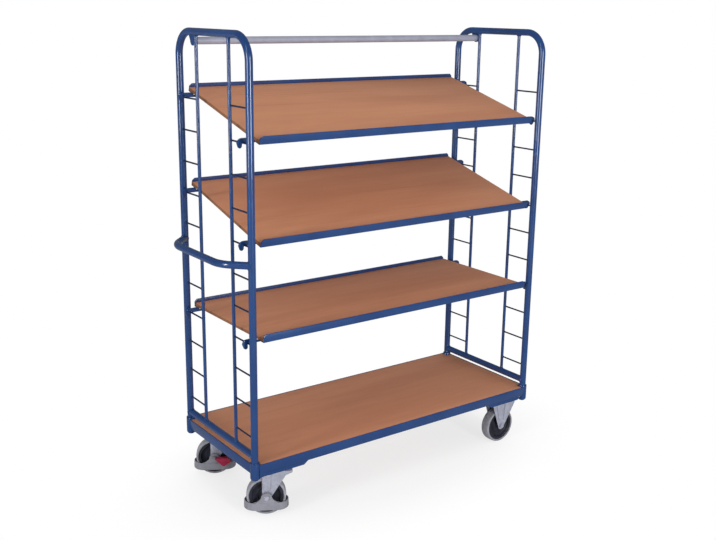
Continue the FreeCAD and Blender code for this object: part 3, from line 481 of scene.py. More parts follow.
def rectangle(left, right, low, high):
    """Its four corners, from the lower left one."""
    return [(left, low), (right, low), (right, high), (left, high)]


def soft(corners, radius, count=5):
    """Outline with each corner rounded: a short arc that touches both edges. A radius per corner
    or one for all."""
    corners = np.asarray(corners, float)
    radii = np.broadcast_to(np.asarray(radius, float), len(corners))
    to_last = unit(np.roll(corners, 1, 0) - corners)
    to_next = unit(np.roll(corners, -1, 0) - corners)
    half = np.arccos(np.clip((to_last * to_next).sum(1), -1, 1)) / 2
    reach = radii / np.tan(half)
    t = np.linspace(0, 1, count)[None, :, None]
    start = corners + to_last * reach[:, None]
    end = corners + to_next * reach[:, None]
    centre = corners + unit(to_last + to_next) * (radii / np.sin(half))[:, None]
    chord = (1 - t) * start[:, None] + t * end[:, None] - centre[:, None]
    rim = centre[:, None] + unit(chord + 1e-12) * radii[:, None, None]
    return rim.reshape(-1, 2)


X, Y, Z = np.eye(3)
print("helpers ready")

# %% [markdown]
# Each end frame is a hoop bent from one tube. Its path goes up a post, round a quarter circle,
# across the top and down again. Carrying a circle along that path gives a tube that stays round in
# the bends. The cross bar, the inner bars and the rungs are straight runs of the same kind.

# %% End frames


def hoop_path(x):
    """Up, a quarter turn, across, a quarter turn, down."""
    shoulder, top = HOOP_TOP - HOOP_BEND, POST_Y - HOOP_BEND
    left = arc(-top, shoulder, HOOP_BEND, 180, 90, 15)
    right = arc(top, shoulder, HOOP_BEND, 90, 0, 15)
    yz = np.concatenate([[(-POST_Y, HOOP_FOOT)], left, right, [(POST_Y, HOOP_FOOT)]])
    return np.column_stack([np.full(len(yz), x), yz])


def rod(start, end, radius, sides=20):
    """A straight round bar."""
    start, end = np.asarray(start, float), np.asarray(end, float)
    across = side_vectors(end - start)[0]
    return tube(np.linspace(start, end, 3), radius, across, sides)


for end, sign in ENDS:
    x = MID_X + sign * POST_X
    piece("hoop_" + end, tube(hoop_path(x), TUBE, X, 32), "chassis", PAINT, ["end_tube_" + end])
    bar = rod((x, -POST_Y, CROSS_Z), (x, POST_Y, CROSS_Z), TUBE, 32)
    piece("cross_tube_" + end, bar, "chassis", PAINT, ["cross_bar_" + end])
    bars = [rod((x, t * BAR_Y, CROSS_Z), (x, t * BAR_Y, HOOP_TOP), BAR) for _, t in SIDES]
    piece("upright_bars_" + end, join(bars), "chassis", PAINT, ["inner_bars_" + end])
    for side, t in SIDES:
        rungs = [rod((x, t * BAR_Y, z), (x, t * POST_Y, z), RUNG, 16) for z in RUNG_HEIGHTS]
        piece("ladder_%s_%s" % (side, end), join(rungs), "chassis", SHADED_RUNG_PAINT,
              ["rungs_%s_%s" % (side, end)])
print("end frames done")

# %% [markdown]
# The push handle is a wide bow: a straight run between two gentle arcs that come in to the posts at
# a slant. The tie tube at the top is a plain straight zinc tube between two gusset plates.

# %% Handle and tie tube


def handle_path():
    """Straight out from a post at 45 degrees, a bend, straight across, and the same back."""
    along = HANDLE_BEND * math.sqrt(0.5)
    slant = HANDLE_REACH - HANDLE_BEND + along
    cx, cy = HANDLE_BEND - HANDLE_REACH, POST_Y - slant - along
    front = arc(cx, -cy, HANDLE_BEND, 225, 180, 14)
    back = arc(cx, cy, HANDLE_BEND, 180, 135, 14)
    xy = np.concatenate([[(0, -POST_Y)], front, back, [(0, POST_Y)]])
    return np.column_stack([xy[:, 0] + MID_X - POST_X, xy[:, 1], np.full(len(xy), HANDLE_Z)])


piece("push_bow", tube(handle_path(), TUBE, Z, 32), "chassis", PAINT, ["push_handle"])
low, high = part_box("tie_tube")
tie = rod((low[0], TIE[1], TIE[2]), (high[0], TIE[1], TIE[2]), TUBE, 40)
piece("tie_bar", tie, "chassis", ZINC_TUBE, ["tie_tube"])
print("handle points", len(handle_path()))

# %% [markdown]
# Where two tubes meet, the welder leaves a bead. It follows the curve in which the two round
# surfaces cut each other, and it is rippled by the steps of the torch. A small circle carried
# along that curve, with a radius that goes up and down, is enough at this size.

# %% Weld beads
RUNG_BEAD, TUBE_BEAD, FOOT_BEAD, HEAD_BEAD = 0.0016, 0.0024, 0.0026, 0.0034
RIPPLES, RIPPLE_SHARE = 9, 0.12


def bead(centre, out, main, rod_radius, main_radius, size, sides=6, steps=26):
    """Curve: rod circle pushed out along the rod by sqrt(R^2 - (r sin a)^2), with R the main tube.
    The bead is a rippled circle about that curve."""
    out, main = unit(out), unit(main)
    side = np.cross(out, main)
    a = turn_angles(steps)
    rim = np.cos(a)[:, None] * main + np.sin(a)[:, None] * side
    reach = np.sqrt(np.maximum(main_radius ** 2 - (rod_radius * np.sin(a)) ** 2, 0))
    curve = np.asarray(centre) + rod_radius * rim + reach[:, None] * out
    along = unit(np.roll(curve, -1, 0) - np.roll(curve, 1, 0))
    n = unit(rim - (rim * along).sum(1)[:, None] * along)
    b = np.cross(along, n)
    c = turn_angles(sides)
    r = size * (1 + RIPPLE_SHARE * np.sin(RIPPLES * a))
    points = curve[:, None] + r[:, None, None] * (np.cos(c)[None, :, None] * n[:, None]
                                                  + np.sin(c)[None, :, None] * b[:, None])
    return skin(points, grid_quads(steps, sides, wrap_rows=True))


for end, sign in ENDS:
    x = MID_X + sign * POST_X
    beads = []
    for _, t in SIDES:
        inward = (0, -t, 0)
        beads += [bead((x, t * POST_Y, z), inward, Z, RUNG, TUBE, RUNG_BEAD) for z in RUNG_HEIGHTS]
        beads += [bead((x, t * BAR_Y, z), (0, t, 0), Z, RUNG, BAR, RUNG_BEAD) for z in RUNG_HEIGHTS]
        beads.append(bead((x, t * POST_Y, CROSS_Z), inward, Z, TUBE, TUBE, TUBE_BEAD, steps=48))
        beads.append(bead((x, t * BAR_Y, CROSS_Z), Z, Y, BAR, TUBE, FOOT_BEAD))
        beads.append(bead((x, t * BAR_Y, HOOP_TOP), -Z, Y, BAR, TUBE, HEAD_BEAD))
    piece("welds_" + end, join(beads), "chassis", PAINT)
beads = [bead((MID_X - POST_X, t * POST_Y, HANDLE_Z), (-1, -t, 0), Z, TUBE, TUBE, TUBE_BEAD, steps=48)
         for _, t in SIDES]
piece("welds_handle", join(beads), "chassis", PAINT)
print("beads per end", 2 * (2 * RUNG_COUNT + 3))

# %% [markdown]
# The base is a frame of steel angle with the deck board let into it. Each rail is a leg that stands
# and a flange that carries the board. Both are plates, with the ends of the leg rounded below.

# %% Base rails and deck
RAIL_THICK, RAIL_ROUND, RAIL_LAP = 0.004, 0.0010, 0.002
FOOT_ROUND, HEAD_ROUND = 0.0198, 0.0015
FLANGE_CUT, NOTCH = 0.016, 0.0175
END_LEG_CUT, END_FLANGE_CUT = 0.0108, 0.0168
BASE = (MID_X, 0, 0)
low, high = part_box("base_rail_front")
rail_half = (high[0] - low[0]) / 2
flange_in = BASE_Y - (high[1] - low[1])
for side, t in SIDES:
    leg = soft(rectangle(-rail_half, rail_half, RAIL_LOW, DECK_TOP),
               [FOOT_ROUND, FOOT_ROUND, HEAD_ROUND, HEAD_ROUND], 8)
    faces = sorted((t * BASE_Y, t * (BASE_Y - RAIL_THICK)))
    standing = plate(leg, *faces, BASE, X, Z, Y, RAIL_ROUND)
    span = rail_half - FLANGE_CUT
    flange = rectangle(-span, span, t * flange_in, t * (BASE_Y - RAIL_LAP))
    lying = plate(flange, RAIL_LOW, RAIL_LOW + RAIL_THICK, BASE, X, Y, Z)
    piece("deck_rail_" + side, join([standing, lying]), "chassis", PAINT, ["base_rail_" + side])

low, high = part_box("deck_board")
half_x, half_y = (high[0] - low[0]) / 2, (high[1] - low[1]) / 2
notch_x, notch_y = POST_X - NOTCH, POST_Y - NOTCH
corners = [(-notch_x, -half_y), (notch_x, -half_y), (notch_x, -notch_y), (half_x, -notch_y),
           (half_x, notch_y), (notch_x, notch_y), (notch_x, half_y), (-notch_x, half_y),
           (-notch_x, notch_y), (-half_x, notch_y), (-half_x, -notch_y), (-notch_x, -notch_y)]
deck = plate(soft(corners, 0.0015, 3), DECK_LOW, DECK_TOP, BASE, X, Y, Z, 0.0012)
piece("deck_panel", deck, "chassis", BOARD, ["deck_board"])

for end, sign in ENDS:
    low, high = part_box("base_end_rail_" + end)
    outer = sign * max(abs(low[0] - MID_X), abs(high[0] - MID_X))
    inner = sign * min(abs(low[0] - MID_X), abs(high[0] - MID_X))
    reach = POST_Y - END_LEG_CUT
    faces = sorted((outer, outer - sign * RAIL_THICK))
    standing = plate(rectangle(-reach, reach, RAIL_LOW, DECK_TOP), *faces, BASE, Y, Z, X, RAIL_ROUND)
    reach = POST_Y - END_FLANGE_CUT
    flange = rectangle(inner, outer - sign * RAIL_LAP, -reach, reach)
    lying = plate(flange, RAIL_LOW, RAIL_LOW + RAIL_THICK, BASE, X, Y, Z)
    piece("deck_end_rail_" + end, join([standing, lying]), "chassis", PAINT,
          ["base_end_rail_" + end])
print("deck", half_x * 2, half_y * 2)

# %% [markdown]
# Each post stands in a socket: a short wider tube with a closed, domed foot. It is one turned
# profile, from the middle of the dome up the outside and over the rim to the post.

# %% Corner sockets
POLE, DOME_HIGH, POST_GAP = 0.0006, 0.013, 0.0003
low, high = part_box("corner_sockets")
cap_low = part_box("post_end_caps")[0][2]
rim_z, wide = high[2], (high[0] - low[0]) / 2 - POST_X
dome = arc(0, 0, 1, -90, 0, 10)
foot = np.column_stack([POLE + (wide - POLE) * dome[:, 0], cap_low + DOME_HIGH * (1 + dome[:, 1])])
lip = [(wide, rim_z - 0.0012), (wide - 0.0004, rim_z - 0.0004), (wide - 0.0012, rim_z),
       (TUBE + POST_GAP, rim_z), (TUBE + POST_GAP, rim_z - 0.006)]
profile = np.concatenate([foot, lip])
shapes = [turned(profile, (MID_X + sx * POST_X, sy * POST_Y, 0), Z, 40)
          for _, sx in ENDS for _, sy in SIDES]
piece("post_sockets", join(shapes), "chassis", PAINT, ["corner_sockets", "post_end_caps"])
print("sockets", wide, cap_low, rim_z)

# %% [markdown]
# At the handle end the rails run into the sockets without a notch: a small web of sheet is welded in
# under each rail, with a hollow lower edge that comes down to the foot of the socket.

# %% Corner webs
PAN_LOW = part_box("castor_pan_left")[0][2]
END_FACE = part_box("base_end_rail_left")[0][0]
WEB_ROUND, WEB_START = 0.010, 0.0085
WEB_IN, WEB_OUT = 0.0035, 0.0004
RAIL_WEB_LONG, RAIL_WEB_TALL = 0.036, 0.022
END_WEB_LONG, END_WEB_TALL = 0.016, 0.014


def web(reach, low, high):
    """Beside a socket: a hollow arc from its foot to the lower edge, on along that edge, and up."""
    hollow = arc(WEB_ROUND, low - WEB_ROUND, WEB_ROUND, 155, 90, 7)
    back = [(reach, low), (reach, low + 0.012), (WEB_ROUND, high), (0.0009, high)]
    return np.concatenate([hollow, back])


shapes = []
for _, t in SIDES:
    faces = sorted((t * (BASE_Y - WEB_IN), t * (BASE_Y - WEB_OUT)))
    corner = (MID_X - POST_X + WEB_START, 0, 0)
    shapes.append(plate(web(RAIL_WEB_LONG, PAN_LOW, RAIL_LOW + RAIL_WEB_TALL), *faces, corner, X, Z, Y))
    faces = (END_FACE + WEB_OUT, END_FACE + WEB_IN)
    corner = (0, t * (POST_Y - WEB_START), 0)
    shapes.append(plate(web(END_WEB_LONG, RAIL_LOW, RAIL_LOW + END_WEB_TALL), *faces, corner,
                        -t * Y, Z, X))
piece("corner_webs", join(shapes), "chassis", PAINT)
print("webs", PAN_LOW, END_FACE)

# %% [markdown]
# A shelf is drawn flat and then hung. Its own directions are the length, the way up the slope and
# the normal of the board, so one set of outlines serves the level shelf and the tilted ones.

# %% Shelves
SHELF_HALF, SHELF_DEPTH = 0.600, 0.247
SEAT, SHEET, LIP, FLANGE = 0.007, 0.003, 0.028, 0.032
BOARD_THICK, BOARD_GAP, BAND_IN = 0.012, 0.0039, 0.0008
LIP_CUT, FORWARD = 0.009, 0.0065
HOOK_SPAN, HOOK_HALF, HOOK_ARM, HOOK_LONG = 0.206, 0.0036, 0.0065, 0.052
HOOK_SLOT, HOOK_LOBE, HOOK_TIP, HOOK_TOOTH = RUNG + 0.0012, 0.016, 0.007, 0.017
SHELVES = {"top": (1, 0), "middle": (4, 3), "lower": (7, 7)}


def hook_outline(sign):
    """Arm under the board, lobe over the rung, tooth outside it, and a round seat for the rung."""
    end, top, low = SHELF_HALF + 0.0015, SEAT, SEAT - HOOK_ARM
    start = end - HOOK_LONG
    inner = [(start, top), (start, low + 0.003), (start + 0.006, low), (POST_X - HOOK_SLOT - 0.004, low),
             (POST_X - HOOK_SLOT, low - 0.003)]
    seat = arc(POST_X, 0, HOOK_SLOT, 180, 0, 9)
    claw = arc(POST_X + HOOK_SLOT + HOOK_TIP, HOOK_TIP - HOOK_TOOTH, HOOK_TIP, 180, 330, 9)
    lobe = arc(POST_X + 0.007, 0, HOOK_LOBE, 0, 90, 10)
    outer = [(end + 0.008, HOOK_LOBE), (end, top + 0.003), (end, top)]
    return np.concatenate([inner, seat, claw, lobe, outer]) * np.array([sign, 1.0])


for shelf, (front, back) in SHELVES.items():
    tilt = math.asin((front - back) * RUNG_PITCH / (2 * HOOK_SPAN))
    origin = np.array([MID_X, FORWARD if front != back else 0.0,
                       RUNG_TOP - RUNG_PITCH * (front + back) / 2])
    up = np.array([0, math.cos(tilt), math.sin(tilt)])
    out = np.array([0, -math.sin(tilt), math.cos(tilt)])
    body, label = "shelf_" + shelf, "shelf_%s_" % shelf
    deep, board_low = SHELF_DEPTH - BOARD_GAP, SEAT + SHEET
    board_high = board_low + BOARD_THICK
    panel = soft(rectangle(-SHELF_HALF, SHELF_HALF, -deep, deep), 0.002, 3)
    panel = plate(panel, board_low, board_high, origin, X, up, out, 0.0010)
    piece(label + "panel", panel, body, BOARD, [label + "board"])
    rim = rectangle(BAND_IN - deep, deep - BAND_IN, board_low + BAND_IN, board_high - BAND_IN)
    faces = [sorted((sx * (SHELF_HALF - 0.0006), sx * (SHELF_HALF + 0.0005))) for _, sx in ENDS]
    bands = [plate(soft(rim, 0.0004, 3), a, b, origin, up, out, X, 0.0002) for a, b in faces]
    piece(label + "edge_bands", join(bands), body, EDGE)
    lip_top = SEAT + LIP
    leg = soft([(-SHELF_HALF, SEAT), (SHELF_HALF, SEAT), (SHELF_HALF, lip_top - LIP_CUT),
                (SHELF_HALF - LIP_CUT, lip_top), (LIP_CUT - SHELF_HALF, lip_top),
                (-SHELF_HALF, lip_top - LIP_CUT)], [0.001, 0.001, 0.004, 0.004, 0.004, 0.004], 4)
    for side, t in SIDES:
        faces = sorted((t * SHELF_DEPTH, t * (SHELF_DEPTH - SHEET)))
        standing = plate(leg, *faces, origin, X, out, up, 0.0009)
        flange = rectangle(-SHELF_HALF, SHELF_HALF, t * (SHELF_DEPTH - FLANGE), t * (SHELF_DEPTH - 0.0015))
        lying = plate(flange, SEAT, SEAT + SHEET, origin, X, up, out, 0.0006)
        piece("%s%s_lip" % (label, side), join([standing, lying]), body, PAINT,
              ["%s%s_rail" % (label, side)])
    hooks = [plate(hook_outline(sx), sy * HOOK_SPAN - HOOK_HALF, sy * HOOK_SPAN + HOOK_HALF,
                   origin, X, out, up, 0.0008) for _, sx in ENDS for _, sy in SIDES]
    piece(label + "rung_hooks", join(hooks), body, PAINT, [label + "hooks"])
    print(shelf, "tilt", round(math.degrees(tilt), 2))

# %% [markdown]
# Wheels are turned shapes. The tyre has a slightly crowned tread, round shoulders and a fine groove
# where it meets the hub. The hub steps down from rim to web in rings, as a moulded one does.

# %% Wheels


def tyre_profile():
    """Closed profile: bore, one flank with its groove, crowned tread, the other flank."""
    inner, half, shoulder = WHEEL - 0.009, 0.020, 0.005
    flank = [(inner, -0.0180), (inner + 0.0008, -0.0192), (inner + 0.0016, -0.0186),
             (inner + 0.0026, -half)]
    curve = arc(WHEEL - shoulder - 0.0006, -half + shoulder, shoulder, -90, -6, 8)
    tread = [(WHEEL, -0.006), (WHEEL, 0.006)]
    one_side = np.concatenate([flank, curve])
    return np.concatenate([one_side, tread, one_side[::-1] * np.array([1, -1.0])])


def hub_profile():
    """Closed profile: bore, boss, web with a ring, stepped well and rim, mirrored to the other face."""
    rim = WHEEL - 0.00906
    one_side = np.array([(0.00606, -0.0235), (0.0110, -0.0235), (0.0125, -0.0228), (0.0140, -0.0190),
                         (0.0152, -0.0085), (0.0200, -0.0064), (0.0290, -0.0060), (0.0305, -0.0078),
                         (0.0325, -0.0078), (0.0340, -0.0062), (0.0440, -0.0066), (0.0485, -0.0090),
                         (0.0502, -0.0150), (0.0512, -0.0166), (0.0535, -0.0178), (0.0560, -0.0172),
                         (0.0580, -0.0180), (rim - 0.0006, -0.0180), (rim, -0.0174)])
    return np.concatenate([one_side, one_side[::-1] * np.array([1, -1.0])])


TURN = math.radians(-30)
AHEAD = np.array([math.cos(TURN), math.sin(TURN), 0])
AXLE = np.array([-math.sin(TURN), math.cos(TURN), 0])
WHEELS = {"swivel_front": AXLE, "swivel_back": AXLE, "fixed_front": Y, "fixed_back": Y}
for name, axis in WHEELS.items():
    spot = middle(name + "_tyre")
    piece(name + "_tread", turned(tyre_profile(), spot, axis, 80, True), name + "_wheel", RUBBER,
          [name + "_tyre"])
    piece(name + "_wheel_hub", turned(hub_profile(), spot, axis, 72, True), name + "_wheel", BLACK,
          [name + "_hub"], sharp=30)
print("wheels", list(WHEELS))

# %% [markdown]
# The forks are pressed from zinc plated sheet. Each leg is a plate with raised bands that stiffen
# it, and the roof joins the two legs at the top. A fork is drawn in its own directions: ahead,
# across and up.

# %% Forks
FORK_IN, FORK_OUT, LEG_BACK, BAND_PROUD = 0.024, 0.028, 0.0025, 0.0012
ROOF_THICK, LEG_LAP = 0.004, 0.0005
PLATE_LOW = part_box("fixed_front_fork")[1][2] - ROOF_THICK
FORK_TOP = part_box("swivel_front_fork")[1][2]
TRAIL, TIP = 0.040, 0.015


def floor_below(node):
    """The point of the floor under a node's centre."""
    return middle(node) * np.array([1.0, 1.0, 0.0])


def fork(leg, bands, roof, top, origin, ahead, across):
    """Two legs, their raised bands, and the roof between them."""
    shapes = []
    for t in (-1, 1):
        faces = sorted((t * FORK_IN, t * (FORK_OUT - LEG_BACK)))
        shapes.append(plate(leg, *faces, origin, ahead, Z, across, 0.0009))
        for strip in bands:
            faces = sorted((t * (FORK_OUT - ROOF_THICK), t * (FORK_OUT + BAND_PROUD)))
            shapes.append(plate(strip, *faces, origin, ahead, Z, across, 0.0024))
    shapes.append(plate(roof, top - ROOF_THICK, top, origin, ahead, across, Z, 0.0012))
    return join(shapes)


swivel_leg = np.concatenate([[(-0.055, FORK_TOP - LEG_LAP)], arc(-TRAIL, WHEEL, TIP, 180, 323, 14),
                             [(0.028, FORK_TOP - 0.018), (0.052, FORK_TOP - 0.007),
                              (0.052, FORK_TOP - LEG_LAP)]])
swivel_band = soft([(-0.0514, FORK_TOP - 0.006), (-0.0514, WHEEL + 0.0245), (-0.028, WHEEL + 0.0245),
                    (-0.0205, FORK_TOP - 0.006)], [0.002, 0.005, 0.006, 0.002], 5)
swivel_roof = soft(rectangle(-0.055, 0.052, -FORK_OUT, FORK_OUT), [0.004, 0.012, 0.012, 0.004], 6)
for side, _ in SIDES:
    spot = floor_below("swivel_%s_tyre" % side) + TRAIL * AHEAD
    made = fork(swivel_leg, [swivel_band], swivel_roof, FORK_TOP, spot, AHEAD, AXLE)
    piece("swivel_%s_yoke" % side, made, "swivel_" + side, ZINC,
          ["swivel_%s_fork" % side], sharp=30)

fixed_leg = np.concatenate([[(-0.052, PLATE_LOW + LEG_LAP), (-0.052, PLATE_LOW - 0.008)],
                            arc(0, WHEEL, TIP, 197, 334, 14),
                            [(0.072, PLATE_LOW - 0.022), (0.072, PLATE_LOW + LEG_LAP)]])
fixed_bands = [soft([(-0.034, PLATE_LOW - 0.004), (-0.013, WHEEL + 0.024), (-0.003, WHEEL + 0.024),
                     (0.002, PLATE_LOW - 0.004)], 0.003, 5),
               soft([(0.018, PLATE_LOW - 0.004), (0.008, WHEEL + 0.024), (0.015, WHEEL + 0.024),
                     (0.050, PLATE_LOW - 0.004)], 0.003, 5)]
fixed_roof = soft(rectangle(-0.052, 0.072, -0.050, 0.050), 0.008, 6)
for side, _ in SIDES:
    spot = floor_below("fixed_%s_tyre" % side)
    made = fork(fixed_leg, fixed_bands, fixed_roof, PLATE_LOW + ROOF_THICK, spot, X, Y)
    piece("fixed_%s_bracket" % side, made, "chassis", ZINC, ["fixed_%s_fork" % side], sharp=30)
print("forks", FORK_TOP, PLATE_LOW)

# %% [markdown]
# The swivel castors wear a foot guard: a moulded skirt round the wheel that keeps toes out. Its
# wall is a rounded strip carried round a racetrack path. On each side a tongue with hollow edges
# climbs to the axle. A black sheet just inside the wall is painted shade: it makes the gap between
# tyre and skirt at the ends look black.

# %% Foot guards
SKIRT_LOW, SKIRT_HIGH, SKIRT_WIDE, SKIRT_LONG = 0.025, 0.053, 0.039, 0.078
TONGUE_IN, TONGUE_OUT, TONGUE_FOOT = 0.0283, 0.0375, 0.046
CROWN, HOLLOW = 0.020, 0.034


def racetrack(radius, run, count=16):
    """Closed path of two half circles and two straights, with outward normals."""
    front = np.radians(np.linspace(-90, 90, count))
    a = np.concatenate([front, front + math.pi])
    normal = np.stack([np.cos(a), np.sin(a)], -1)
    offset = np.concatenate([np.full(count, run), np.full(count, -run)])
    return normal * radius + np.stack([offset, 0 * offset], -1), normal


def wall(path, normal, strip, origin, ahead, across):
    """P(s, t) = path(s) + d(t) normal(s) + z(t) up, for a closed strip of (d, z) points."""
    strip = np.asarray(strip)
    flat = path[:, None] + strip[None, :, :1] * normal[:, None]
    points = (np.asarray(origin) + flat[..., :1] * ahead + flat[..., 1:] * across
              + np.broadcast_to(strip[None, :, 1:], flat.shape[:2] + (1,)) * Z)
    return skin(points, grid_quads(len(path), len(strip), wrap_rows=True))


skirt_strip = soft([(-0.004, SKIRT_LOW), (0.0008, SKIRT_LOW), (0.0008, SKIRT_LOW + 0.006),
                    (0.0, SKIRT_HIGH), (-0.004, SKIRT_HIGH)], [0.0016, 0.0022, 0.004, 0.0018, 0.0016], 5)
# Strip for the black sheet inside the wall, which is painted shade.
shade_lining_strip = soft(rectangle(-0.0052, -0.0041, SKIRT_LOW + 0.004, SKIRT_HIGH - 0.001), 0.0004, 3)


def tongue():
    """Hollow arc up, round crown over the axle, hollow arc down."""
    start, end = np.array([-TONGUE_FOOT, SKIRT_HIGH]), np.array([-CROWN, WHEEL])
    chord = end - start
    normal = np.array([-chord[1], chord[0]]) / np.linalg.norm(chord)
    centre = (start + end) / 2 + normal * math.sqrt(HOLLOW ** 2 - (np.linalg.norm(chord) / 2) ** 2)
    angles = [math.degrees(math.atan2(*(p - centre)[::-1])) for p in (start, end)]
    rise = arc(*centre, HOLLOW, *angles, 9)
    top = arc(0, WHEEL, CROWN, 180, 0, 15)
    fall = rise[::-1] * np.array([-1.0, 1.0])
    root = SKIRT_HIGH - 0.004
    return np.concatenate([[(-TONGUE_FOOT, root)], rise, top[1:-1], fall, [(TONGUE_FOOT, root)]])


for side, _ in SIDES:
    spot = floor_below("swivel_%s_tyre" % side)
    path, normal = racetrack(SKIRT_WIDE, SKIRT_LONG - SKIRT_WIDE)
    shapes = [wall(path, normal, skirt_strip, spot, AHEAD, AXLE)]
    for s in (-1, 1):
        faces = sorted((s * TONGUE_IN, s * TONGUE_OUT))
        shapes.append(plate(tongue(), *faces, spot, AHEAD, Z, AXLE, 0.0040))
    piece("swivel_%s_skirt" % side, join(shapes), "swivel_" + side, GUARD,
          ["swivel_%s_guard" % side])
    # Painted shade: a black sheet just inside the skirt wall, for the dark gap between tyre and skirt.
    piece("swivel_%s_lining" % side, wall(path, normal, shade_lining_strip, spot, AHEAD, AXLE), "swivel_" + side,
          BLACK)
print("guards", SKIRT_LONG * 2)

# %% [markdown]
# The brake pedal turns on the axle: an eye, an arm that flares, and a tread that stands out to the
# side with ribs across it for grip. A grey cap is snapped on the eye and hides the bolt. On the other
# side of the wheel the bolt shows, a hexagon head over a washer.

# %% Pedals and axle bolts
EYE_IN, EYE_OUT = 0.03735, 0.04335
ARM_IN, TREAD_OUT = 0.0397, 0.0597
CAP_OUT = 0.0512
SHANK, WASHER_THICK = 0.006, 0.0015
RIB_COUNT, RIB_START, RIB_STEP, RIB_GAP, RIB_ROUND = 5, 0.023, 0.0065, 0.002, 0.0011


def hexagon(radius):
    """Six corners on a circle."""
    return arc(0, 0, radius, 0, 300, 6)


for side, t in SIDES:
    s = -t
    spot = middle("swivel_%s_tyre" % side)
    eye = turned([(0.0062, EYE_IN), (0.0110, EYE_IN), (0.0114, EYE_IN + 0.0004), (0.0114, EYE_OUT),
                  (0.0062, EYE_OUT)], spot, s * AXLE, 36, True)
    cap = turned([(0.0115, EYE_IN + 0.0006), (0.0124, EYE_IN + 0.0006), (0.0124, CAP_OUT - 0.003),
                  (0.0112, CAP_OUT - 0.0009), (0.0085, CAP_OUT), (0.0006, CAP_OUT + 0.0002),
                  (0.0006, CAP_OUT - 0.0012), (0.0100, CAP_OUT - 0.0015), (0.0112, CAP_OUT - 0.003),
                  (0.0115, EYE_OUT)], spot, s * AXLE, 36, True)
    piece("swivel_%s_cap" % side, cap, "swivel_%s_brake" % side, GUARD)
    arm = soft([(0.002, 0.000), (0.033, -0.026), (0.064, -0.0048), (0.052, 0.0084), (0.002, 0.0104)],
               [0.001, 0.007, 0.004, 0.004, 0.001], 6)
    faces = sorted((s * ARM_IN, s * EYE_OUT))
    shapes = [eye, plate(arm, *faces, spot, AHEAD, Z, AXLE, 0.0010)]
    tread = soft([(0.0085, 0.0108), (0.033, -0.024), (0.062, -0.0048), (0.052, 0.0094)],
                 [0.002, 0.006, 0.004, 0.003], 5)
    faces = sorted((s * ARM_IN, s * TREAD_OUT))
    shapes.append(plate(tread, *faces, spot, AHEAD, Z, AXLE, 0.0020))
    cover = soft([(-0.003, 0.0108), (0.033, -0.0236), (0.040, -0.018), (0.030, 0.0100)],
                 [0.002, 0.005, 0.003, 0.002], 5)
    faces = sorted((s * (CAP_OUT + 0.0008), s * (TREAD_OUT - 0.0002)))
    shapes.append(plate(cover, *faces, spot, AHEAD, Z, AXLE, 0.0018))
    for along in RIB_START + RIB_STEP * np.arange(RIB_COUNT):
        height = 0.0106 - (along - 0.0085) * 0.0014 / 0.0435
        rib = spot + along * AHEAD + height * Z
        ends = [rib + s * away * AXLE for away in (ARM_IN + RIB_GAP, TREAD_OUT - RIB_GAP)]
        shapes.append(rod(*ends, RIB_ROUND, 10))
    piece("swivel_%s_lever" % side, join(shapes), "swivel_%s_brake" % side, RED,
          ["swivel_%s_pedal" % side])

    plain, braked = 0.0371, EYE_OUT + 0.00035
    shapes = [rod(spot - s * plain * AXLE, spot + s * braked * AXLE, SHANK, 20)]
    for away, turned_to, wide in ((plain, -s, 0.0088), (braked, s, 0.0078)):
        axis, bore = turned_to * AXLE, SHANK + 0.0001
        washer = turned([(bore, away), (wide - 0.0002, away), (wide, away + 0.0003), (wide, away + 0.0012),
                         (wide - 0.0004, away + WASHER_THICK), (bore, away + WASHER_THICK)],
                        spot, axis, 32, True)
        head = plate(hexagon(0.85 * wide), away + 0.0014, away + 0.0054, spot, *side_vectors(axis),
                     axis, 0.0010)
        shapes += [washer, head]
    piece("swivel_%s_bolt" % side, join(shapes), "swivel_" + side, ZINC,
          ["swivel_%s_axle" % side], sharp=25)

shapes = []
for side, _ in SIDES:
    spot = middle("fixed_%s_tyre" % side)
    shapes.append(rod(spot - FORK_OUT * Y, spot + FORK_OUT * Y, SHANK, 20))
    for s in (-1, 1):
        bore, top = SHANK + 0.0001, FORK_OUT + WASHER_THICK
        shapes.append(turned([(bore, FORK_OUT), (0.0098, FORK_OUT), (0.0100, top), (bore, top)],
                             spot, s * Y, 32, True))
        shapes.append(plate(hexagon(0.0085), FORK_OUT + 0.0014, FORK_OUT + 0.0058, spot,
                            *side_vectors(s * Y), s * Y, 0.0010))
piece("fixed_bolts", join(shapes), "chassis", ZINC, ["fixed_axles"], sharp=25)
print("pedals and bolts done")

# %% [markdown]
# The solids that need no new edges stay as they are and only get their finish: the pans under the
# rails, the bearers, the end bars, the castor plates and the small screws.

# %% Finishes for the solids that stay
STAYING = [(PAINT, ["castor_pan_left", "castor_pan_right", "deck_bearers", "tie_brackets",
                    "shelf_top_end_bars", "shelf_middle_end_bars", "shelf_lower_end_bars"]),
           (ZINC, ["castor_top_plates", "castor_bolts", "clamp_screws"])]
for material, names in STAYING:
    for name in names:
        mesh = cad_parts[name].data
        mesh.materials.clear()
        mesh.materials.append(material)
print("solids that stay", sum(len(names) for _, names in STAYING))

# %% [markdown]
# The stage is a white sweep. Near the trolley the floor is a real surface that takes its shadow,
# and further out it fades into plain white, so the picture has no horizon. The camera sees a white
# world. The light that falls on the trolley is a little weaker from overhead, and the paint mirrors
# a dim room with a few strip lamps, which draws the thin streaks on the tubes.

# %% Stage
FLOOR_RADIUS = 30.0


